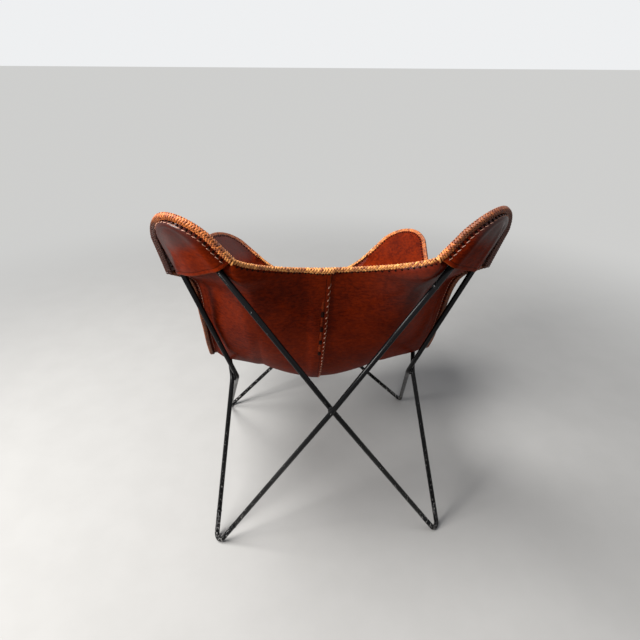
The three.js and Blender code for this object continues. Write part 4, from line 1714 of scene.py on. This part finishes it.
def scuffing() -> bpy.types.NodeTree:
    """The node group for paint that is rubbed and chipped low down.

    Returns:
        The group.
    """
    group = node_group(
        "scuffing",
        {"Amount": 1.0, "Reach": 0.3},
        {"Mask": "NodeSocketFloat", "Height": "NodeSocketFloat", "Gloss": "NodeSocketFloat"},
    )
    w, source, out = Wiring(group), group.nodes["In"].outputs, group.nodes["Out"].inputs
    place = w.place()
    height = w.add("SeparateXYZ", Vector=place).outputs["Z"]
    low = w.math("MAXIMUM", w.rest(w.math("DIVIDE", height, source["Reach"])), 0.06)
    chips = w.noise(260.0, 6.0, w.stretched(place, 1.0, 1.0, 0.35), 0.7)
    mask = w.between(w.plus(chips, w.times(low, 0.12)), 0.66, 0.72)
    peel = w.times(w.noise(900.0, 2.0, place), 0.2)
    w.feed(out["Mask"], w.times(mask, source["Amount"]))
    w.feed(out["Height"], w.math("SUBTRACT", peel, w.times(mask, 0.4)))
    w.feed(out["Gloss"], w.plus(0.12, w.times(w.noise(40.0, 3.0, place), 0.16)))
    return group


def new_material(name: str) -> tuple[Material, Wiring, bpy.types.bpy_prop_collection]:
    """A new material, the wiring of its nodes, and the inputs of its shader.

    Args:
        name: its name.

    Returns:
        All three.
    """
    material = bpy.data.materials.new(name)
    material.use_nodes = True
    return material, Wiring(material.node_tree), material.node_tree.nodes["Principled BSDF"].inputs


@dataclass(frozen=True)
class HideFinish:
    """Waxed saddle leather. Insets are how far in from the edge it changes, in millimetres."""

    name: str
    deep: Row
    fair: Row
    grain: float = 900.0
    cloud: float = 8.0
    bump: float = 0.25
    coat: float = 0.05
    burnished: Row = (0.032, 0.0065, 0.0048)
    pressed: Row = (0.020, 0.003, 0.001)
    raw: Row = (0.24, 0.05, 0.010)
    worn_inset: float = 14.0
    raw_inset: float = 1.2
    line_inset: Pair = (6.4, 7.4)
    line_end: Pair = (7.6, 9.2)

    def made(self, group: bpy.types.NodeTree) -> Material:
        """The material.

        Args:
            group: the leather's node group.

        Returns:
            The new material.
        """
        material, w, shader = new_material(self.name)
        inset, burnish = w.mark("inset"), w.mark("burnish")
        wear = w.times(w.rest(w.between(inset, 0.0, self.worn_inset)), 0.25)
        look = {"Deep": self.deep, "Fair": self.fair, "Grain": self.grain, "Cloud": self.cloud}
        grain = w.add("Group", group, Wear=wear, **look).outputs
        # Painted shade: where the mesh's shade mark is high, the base colour goes dark brown, and the coat
        # below adds a grey sheen.
        colour = w.blend(w.times(burnish, 0.86), grain["Color"], self.burnished)
        # Painted shade: a dark line about 7 mm in from every edge, where the pockets' hems have their groove.
        line = w.math("SUBTRACT", w.between(inset, *self.line_inset), w.between(inset, *self.line_end))
        colour = w.blend(w.times(line, 0.75), colour, self.pressed)
        edge = w.rest(w.between(inset, 0.0, self.raw_inset))
        w.feed(shader["Base Color"], w.blend(w.times(edge, 0.7), colour, self.raw))
        w.feed(shader["Roughness"], grain["Gloss"])
        w.feed(shader["Normal"], w.bump(self.bump, 0.0006, grain["Height"]))
        w.feed(shader["Coat Weight"], w.plus(self.coat, w.times(burnish, 0.5)))
        shader["Coat Roughness"].default_value = 0.24
        shader["Specular IOR Level"].default_value = 0.01
        shader["Specular Tint"].default_value = (1.0, 0.45, 0.22, 1.0)
        return material


@dataclass(frozen=True)
class ThongFinish:
    """Lacing thong of lighter leather, darker at its rims, with painted light and shade: brighter where it
    lies in the light, darker where it lies in shade.
    """

    name: str
    dark: Row
    light: Row
    fresh: Row
    rim: Row

    def made(self, group: bpy.types.NodeTree) -> Material:
        """The material.

        Args:
            group: the leather's node group.

        Returns:
            The new material.
        """
        material, w, shader = new_material(self.name)
        tint, soil = w.mark("tint"), w.mark("soil")
        # Painted light: lacing without painted shade takes the brighter lit colour.
        light = w.blend(w.between(soil, 0.0, 0.3), self.fresh, self.light)
        deep, fair = (w.blend(tint, colour, light) for colour in (self.rim, self.dark))
        grain = w.add("Group", group, Deep=deep, Fair=fair, Grain=1400.0, Cloud=30.0, Wear=0.6).outputs
        colour = w.blend(w.times(w.between(w.mark("rim"), 0.66, 1.0), 0.85), grain["Color"], self.rim)
        # Painted shade: the more shade the mark gives, the nearer the colour goes to the dark rim colour.
        w.feed(shader["Base Color"], w.blend(w.between(soil, 0.2, 1.1), colour, self.rim))
        w.feed(shader["Roughness"], grain["Gloss"])
        w.feed(shader["Normal"], w.bump(0.3, 0.0004, grain["Height"]))
        return material


@dataclass(frozen=True)
class ThreadFinish:
    """Waxed thread, or the painted shade inside a slot, with a fine twist."""

    name: str
    colour: Row
    shade: Row
    roughness: float

    def made(self) -> Material:
        """The material.

        Returns:
            The new material.
        """
        material, w, shader = new_material(self.name)
        place = w.place()
        fibre, soil = w.noise(1500.0, 3.0, place), w.noise(70.0, 3.0, place)
        share = w.between(w.plus(w.times(fibre, 0.4), w.times(soil, 0.6)), 0.38, 0.64)
        w.feed(shader["Base Color"], w.blend(share, self.shade, self.colour))
        w.feed(shader["Normal"], w.bump(0.4, 0.0003, fibre))
        shader["Roughness"].default_value = self.roughness
        shader["Specular IOR Level"].default_value = 0.06
        return material


@dataclass(frozen=True)
class PaintFinish:
    """Black paint on steel, rubbed bare in small places up to some reach, in metres."""

    name: str
    colour: Row
    bare: Row
    amount: float
    reach: float
    bump: float

    def made(self, group: bpy.types.NodeTree) -> Material:
        """The material.

        Args:
            group: the scuffing node group.

        Returns:
            The new material.
        """
        material, w, shader = new_material(self.name)
        scuff = w.add("Group", group, Amount=self.amount, Reach=self.reach).outputs
        w.feed(shader["Base Color"], w.blend(scuff["Mask"], self.colour, self.bare))
        w.feed(shader["Roughness"], w.plus(scuff["Gloss"], w.times(scuff["Mask"], 0.2)))
        w.feed(shader["Normal"], w.bump(self.bump, 0.0004, scuff["Height"]))
        shader["Specular IOR Level"].default_value = 0.13
        return material


# Painted shade on each horn's lacing, on its middle's side and on its outer side: darkest where the horn
# faces away from the light.
HORN_LACE_SHADE = {
    "rear_left": (0.34, 1.0),
    "rear_right": (0.78, 1.0),
    "front_left": (0.75, 0.95),
    "front_right": (0.2, 0.5),
}


@dataclass
class TrimSizes:
    """Sizes of the stitches and the seam's woven thong, in millimetres, and where lacing is painted darker
    for shade.
    """

    pocket_insets: Pair = (16.6, 18.4)
    pocket_lean: float = 3.9
    side_inset: float = 3.6
    # Painted shade on the side edges' lacing.
    side_soil: float = 0.75
    soil_turn: Pair = (0.5, 4.5)
    soil_hem: Pair = (-8.5, -6.0)
    seam_left: float = 3.4
    seam_right: float = -2.0
    seam_lean: float = -4.6
    thong_line: float = 12.2
    first_slot: float = 96.0
    slot_step: float = 49.0
    slots: int = 4
    slot_half: Pair = (8.5, 3.8)
    thong_run: Pair = (-40.0, -9.5)
    thong_half: float = 2.9
    thong_lift: float = 0.9
    thong_sink: float = 0.7
    thong_inset: float = 20.0
    thong_steps: int = 9
    thong_section: tuple[Pair, ...] = (
        (-1.0, -0.3),
        (-0.8, 0.45),
        (0.0, 0.6),
        (0.8, 0.45),
        (1.0, -0.3),
        (0.0, -0.6),
    )


POCKET_STITCHES = Stitching(pitch=10.4, radius=0.9, lift=0.7)
SIDE_STITCHES = Stitching(pitch=7.4, radius=0.8)
SEAM_STITCHES = Stitching(pitch=17.5, radius=1.4, lift=1.1)


@dataclass
class Leatherwork:
    """Makes the sling's pieces: panels, pockets, lacing, stitches, and painted shade for the slots."""

    sling: Sling
    shop: Workshop
    hide: Material
    inner_hide: Material
    thong: Material
    thread: Material
    # The painted shade for slots.
    dark: Material
    trim: TrimSizes = field(default_factory=TrimSizes)

    def face(self, ribs: Points, way: Points, half: float) -> tuple[Points, ...]:
        """A face of the leather on a horn.

        Args:
            ribs: the leather's ribs, from the tip to the hem.
            way: the side that the face is on.
            half: half of the leather's thickness.

        Returns:
            Its points and the ways it faces, in rows from the edge inwards, one for each place on the horn.
        """
        hide, near = Hide([Patch(ribs)]), ribs.shape[1] // 3
        facing = hide.normals[hide.grids[0]]
        if facing[-1, ribs.shape[1] // 2] @ way < 0:
            facing = -facing
        grids = (ribs + facing * half, facing)
        return tuple(np.concatenate([v[:0:-1, :near], v[:, ::-1][:, :near]]) for v in grids)

    def horn_path(self, key: str) -> EdgePath:
        """The edge that a pocket's lacing wraps, painted darker for shade on its outer side.

        Args:
            key: the horn's key.

        Returns:
            The path.
        """
        horn, sling = self.sling.horns[key], self.sling
        half, pocket_half = sling.sizes.sling_thickness / 2, sling.sizes.pocket_thickness / 2
        places = np.concatenate([-sling.places[:0:-1], sling.places])
        low, high = (np.full(len(places), v) for v in (-half, sling.pocket_lift + pocket_half))
        # Painted shade: more on the outer side, and less near the middle's hem.
        soil = mix(*HORN_LACE_SHADE[key], ease(places, *self.trim.soil_turn))
        soil = soil * ease(places, *self.trim.soil_hem)
        beside = [
            self.face(sling.pocket(key), horn.outward, pocket_half),
            self.face(sling.ribs[key], -horn.outward, half),
        ]
        st = horn.stations(places)
        return EdgePath(st.edge, st.inward, st.facing, low, high, soil, beside)

    def grid_path(self, rows: Points, facing: Points, high: Points, soil: float) -> EdgePath:
        """The edge that plain lacing wraps.

        Args:
            rows: points of the leather from the edge inwards, a row for each place along it.
            facing: the way that the leather faces at each.
            high: how high its outer face is at each place.
            soil: how much painted shade its lacing has.

        Returns:
            The path.
        """
        half = self.sling.sizes.sling_thickness / 2
        beside = [(rows + facing * high[:, None, None], facing), (rows - facing * half, -facing)]
        edge, inward, facing = rows[:, 0], unit(rows[:, 3] - rows[:, 0]), facing[:, 0]
        facing = unit(facing - dot(facing, inward)[:, None] * inward)
        low, lace_shades = (np.full(len(edge), v) for v in (-half, soil))
        return EdgePath(edge, inward, facing, low, high, lace_shades, beside)

    def paths(self) -> dict[str, EdgePath]:
        """Every run of lacing, by the CAD node that it stands for.

        Returns:
            The paths.
        """
        sling, half = self.sling, self.sling.sizes.sling_thickness / 2
        found = {key.replace("_", "_pocket_lace_"): self.horn_path(key) for key in sling.horns}
        rib = sling.ribs["rear_left"].shape[1]
        open_ = slice(rib, sling.body.shape[1] - rib)
        for end, turn in (("back", 1), ("front", -1)):
            rows, facing = (v[::turn][:8, open_].transpose(1, 0, 2) for v in (sling.body, sling.out))
            found[f"{end}_edge_lace"] = self.grid_path(rows, facing, half + sling.lap_lift()[open_], 0.0)
        for side in Side:
            rows, facing = (v[1:-1, :: -side.value][:, :12] for v in (sling.body, sling.out))
            path = self.grid_path(rows, facing, np.full(len(rows), half), self.trim.side_soil)
            found[f"side_edge_lace_{side.word}"] = path
        return found

    def panels(self) -> None:
        """The two panels of the sling."""
        for side, hide in self.sling.panels().items():
            form = hide.shell(self.sling.sizes.sling_thickness, self.sling.outside)
            name = f"sling_{side.word}"
            piece = self.shop.piece(f"leather_{name}", form, self.hide, Slot.SLING, name)
            flat = self.sling.panel_flat(side)
            LOG.info("%s: flat %s m, %.4f square metres", name, flat, hide.area)

    def pockets(self) -> None:
        """The four pockets and the stitches beside their lacing."""
        lines = []
        for key, horn in self.sling.horns.items():
            hide, ribs = self.sling.pocket_hide(key)
            facing, centre = hide.normals[hide.grids[0]], ribs.shape[1] // 2
            up = 1 if facing[-1, centre] @ horn.outward > 0 else -1
            node, bow = (key.replace("_", f"_{kind}_") for kind in ("pocket", "bow"))
            form = hide.shell(self.sling.sizes.pocket_thickness, up)
            piece = self.shop.piece(f"leather_{node}", form, self.hide, Slot.SLING, node)
            lines.append(self.pocket_stitches(ribs, facing * up))
        self.shop.piece("pocket_stitches", Form.joined(lines), self.thread, Slot.LACING)

    def pocket_stitches(self, ribs: Points, normals: Points) -> Form:
        """The stitches on a pocket, just inside its lacing.

        Args:
            ribs: the pocket's ribs from the tip to the hem.
            normals: the way that its outer face faces at each point.

        Returns:
            The stitches.
        """
        insets, halves = self.trim.pocket_insets, []
        for half, ways in ((ribs, normals), (ribs[:, ::-1], normals[:, ::-1])):
            rows = []
            for rib, way in zip(half, ways):
                lengths = lengths_along(rib)
                nearest = int(np.argmin(np.abs(lengths - insets[0])))
                rows.append([along(inset, lengths, rib) for inset in insets] + [way[nearest]])
            halves.append(np.array(rows))
        line_a, line_b, face = np.concatenate([halves[0][::-1], halves[1][1:]]).transpose(1, 0, 2)
        top = face * self.sling.sizes.pocket_thickness / 2
        return POCKET_STITCHES.ladder(line_a + top, line_b + top, face, self.trim.pocket_lean)

    def lacing(self) -> None:
        """The braids round all edges, painted shade for their slots, and the stitches beside the side edges.
        """
        slots, stitches = [], []
        for node, path in self.paths().items():
            lacing = EDGE_LACING if "edge" in node else HORN_LACING
            self.shop.piece(f"braid_{node}", lacing.braid(path), self.thong, Slot.LACING, node)
            for line, normals in path.faces(lacing.slot_inset):
                slots += lacing.slots(path, line, normals)
            if node.startswith("side"):
                line, normals = path.faces(lacing.slot_inset + self.trim.side_inset)[0]
                stitches.append(SIDE_STITCHES.row(line, normals))
        self.shop.piece("lacing_slots", Form.joined(slots), self.dark, Slot.LACING)
        self.shop.piece("side_stitches", Form.joined(stitches), self.thread, Slot.LACING)

    def seam(self) -> None:
        """The thread across the lap's edge, the thong woven beside it, and painted shade for its slots."""
        sling, s, trim = self.sling, self.sling.sizes, self.trim
        edge = sling.column(s.seam_offset - s.lap_half)
        facing = sling.out[2:-2, edge]

        def beside(sheet: Points, distance: float) -> Points:
            """A line down the outer face of the body, some way past the lap's edge."""
            place = sling.spread[edge] + distance
            line = np.array([along(place, sling.spread, row) for row in sheet[2:-2]])
            return line + facing * s.sling_thickness / 2

        lines = beside(sling.lap, trim.seam_left), beside(sling.waved, trim.seam_right)
        ladder = SEAM_STITCHES.ladder(*lines, facing, trim.seam_lean)
        self.shop.piece("seam_stitches", ladder, self.thread, Slot.LACING)
        line = beside(sling.lap, trim.thong_line)
        lengths = lengths_along(line)
        slots, strips = [], []
        for place in trim.first_slot + trim.slot_step * np.arange(trim.slots):
            at, after = (along(place + step, lengths, line) for step in (0, 4))
            normal = facing[int(np.argmin(np.abs(lengths - place)))]
            # Painted shade for each of the seam's slots.
            slots.append(slit(at, unit(after - at), normal, *trim.slot_half))
            places = np.linspace(place + trim.thong_run[0], place + trim.thong_run[1], trim.thong_steps)
            strips.append(self.strip(*(along(places, lengths, v) for v in (line, facing))))
        self.shop.piece("seam_slots", Form.joined(slots), self.dark, Slot.SLING)
        self.shop.piece("seam_thong", Form.joined(strips), self.inner_hide, Slot.SLING)

    def strip(self, at: Points, facing: Points) -> Form:
        """One visible run of the thong woven down the seam: a flat strip with a crowned face.

        Args:
            at: points down its middle.
            facing: the way that the leather faces at each.

        Returns:
            The strip.
        """
        trim, normal = self.trim, unit(facing)
        across = np.cross(normal, unit(np.gradient(at, axis=0))) * trim.thong_half
        share = np.linspace(0, 1, len(at))[:, None]
        lift = trim.thong_lift * np.sin(math.pi * share) ** 0.4 - trim.thong_sink
        rings = [at + across * x + normal * (z + lift) for x, z in trim.thong_section]
        form = Form.lofted(np.stack(rings, axis=1))
        form.marks["inset"] = np.full(len(form.points), trim.thong_inset)
        return form

    def build(self) -> None:
        """Makes all the leather."""
        self.panels()
        self.pockets()
        self.lacing()
        self.seam()


@dataclass
class Studio:
    """The floor, the lights and the camera. Sizes are in metres."""

    focal: float = 27.096
    sensor: float = 36.0
    eye: Row = (0.08680, 0.80759, 1.10942)
    right: Row = (-0.99768241, 0.06754488, 0.00821618)
    down: Row = (0.0262996, 0.49416428, -0.86897065)
    forward: Row = (-0.06275466, -0.86674065, -0.49479542)
    floor_half: float = 30.0
    floor_edge: Pair = (0.9, 2.6)

    def camera(self, shift: Points) -> None:
        """Sets the camera where the photograph was taken from.

        Args:
            shift: where the rod frame's origin stands, in metres.
        """
        data = bpy.data.cameras.new("camera")
        data.lens, data.sensor_width, data.sensor_fit = self.focal, self.sensor, "HORIZONTAL"
        data.clip_start = 0.01
        camera = shown("camera", data)
        axes = [Vector(self.right), -Vector(self.down), -Vector(self.forward)]
        turned = Matrix([[axis[row] for axis in axes] for row in range(3)]).to_4x4()
        camera.matrix_world = Matrix.Translation(Vector(self.eye) + Vector(shift)) @ turned
        bpy.context.scene.camera = camera

    def floor(self) -> None:
        """Lays the pale floor, which runs into an even pale backdrop away from the chair."""
        material, w, shader = new_material("pale_floor")
        shader["Roughness"].default_value = 0.85
        place, seen = w.place(), w.straight_rays()
        cloud = w.between(w.noise(9.0, 4.0, place), 0.3, 0.7)
        pale = w.blend(cloud, (0.415, 0.41, 0.40), (0.43, 0.425, 0.415))
        w.feed(shader["Base Color"], w.blend(seen, (0.24, 0.235, 0.22), pale))
        reach = w.add("VectorMath", Vector=place)
        reach.operation = "LENGTH"
        glow = w.add("Emission", Color=(0.62, 0.62, 0.61), Strength=1.0).outputs[0]
        far = w.times(seen, w.between(reach.outputs["Value"], *self.floor_edge))
        nodes = material.node_tree.nodes
        w.choose(nodes["Material Output"], far, nodes["Principled BSDF"].outputs[0], glow)
        mesh, half = bpy.data.meshes.new("floor"), self.floor_half
        corners = [(-half, -half, 0), (half, -half, 0), (half, half, 0), (-half, half, 0)]
        mesh.from_pydata(corners, [], [(0, 1, 2, 3)])
        mesh.materials.append(material)
        shown("floor", mesh)

    def lamp(self, name: str, at: Row, aim: Row, size: float, power: float, colour: Row) -> None:
        """Hangs a soft square lamp.

        Args:
            name: its name.
            at: where it hangs.
            aim: what it points at.
            size: its side.
            power: its power in watts.
            colour: its colour.
        """
        data = bpy.data.lights.new(name, "AREA")
        data.shape, data.size, data.energy, data.color = "SQUARE", size, power, colour
        lamp = shown(name, data)
        lamp.location = at
        lamp.rotation_euler = (Vector(aim) - Vector(at)).to_track_quat("-Z", "Y").to_euler()

    def world(self) -> None:
        """A pale room all round, brighter where the camera sees it."""
        world = bpy.data.worlds.new("room")
        world.use_nodes = True
        bpy.context.scene.world = world
        w, nodes = Wiring(world.node_tree), world.node_tree.nodes
        back = nodes["Background"]
        back.inputs["Color"].default_value = (0.93, 0.95, 1.0, 1.0)
        back.inputs["Strength"].default_value = 0.33
        seen = w.add("Background", Color=(0.86, 0.87, 0.88), Strength=1.0)
        w.choose(nodes["World Output"], w.straight_rays(), back.outputs[0], seen.outputs[0])

    def build(self, shift: Points) -> None:
        """Sets up the whole studio.

        Args:
            shift: where the rod frame's origin stands, in metres.
        """
        self.camera(shift)
        self.floor()
        self.world()
        self.lamp("left_window", (2.35, 1.25, 1.9), (0.0, 0.0, 0.45), 1.0, 92.0, (1.0, 0.98, 0.95))
        self.lamp("overhead", (1.0, 0.1, 2.7), (0.0, 0.0, 0.4), 1.1, 72.0, (1.0, 0.99, 0.97))
        bpy.context.scene.view_settings.view_transform = "Standard"


def main() -> None:
    """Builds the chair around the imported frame."""
    logging.basicConfig(level=logging.INFO, format="%(message)s")
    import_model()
    shop = Workshop()
    Studio().build(shop.shift)
    scuffs, grain = scuffing(), hide_grain()
    paint = PaintFinish("black_paint", (0.0035, 0.0035, 0.004), (0.30, 0.29, 0.28), 1.0, 0.35, 0.12)
    weld = PaintFinish("weld_paint", (0.012, 0.012, 0.013), (0.22, 0.21, 0.20), 0.6, 0.5, 0.5)
    frame = RodFrame()
    frame.build(shop, paint.made(scuffs), weld.made(scuffs))
    leather = Leatherwork(
        sling=Sling(frame, SlingSizes()),
        shop=shop,
        hide=HideFinish("saddle_hide", (0.060, 0.0030, 0.0005), (0.25, 0.022, 0.0018)).made(grain),
        inner_hide=HideFinish("thong_hide", (0.11, 0.012, 0.003), (0.34, 0.050, 0.010)).made(grain),
        # The third colour is painted light on lit lacing; the last is also the colour of painted shade.
        thong=ThongFinish(
            "lacing", (0.34, 0.064, 0.010), (0.88, 0.25, 0.050), (1.0, 0.43, 0.11), (0.050, 0.008, 0.003)
        ).made(grain),
        thread=ThreadFinish("thread", (0.62, 0.37, 0.29), (0.30, 0.13, 0.08), 0.6).made(),
        # Painted shade for the inside of the slots.
        dark=ThreadFinish("slot_dark", (0.020, 0.004, 0.002), (0.009, 0.002, 0.001), 0.8).made(),
    )
    leather.build()


if __name__ == "__main__":
    main()
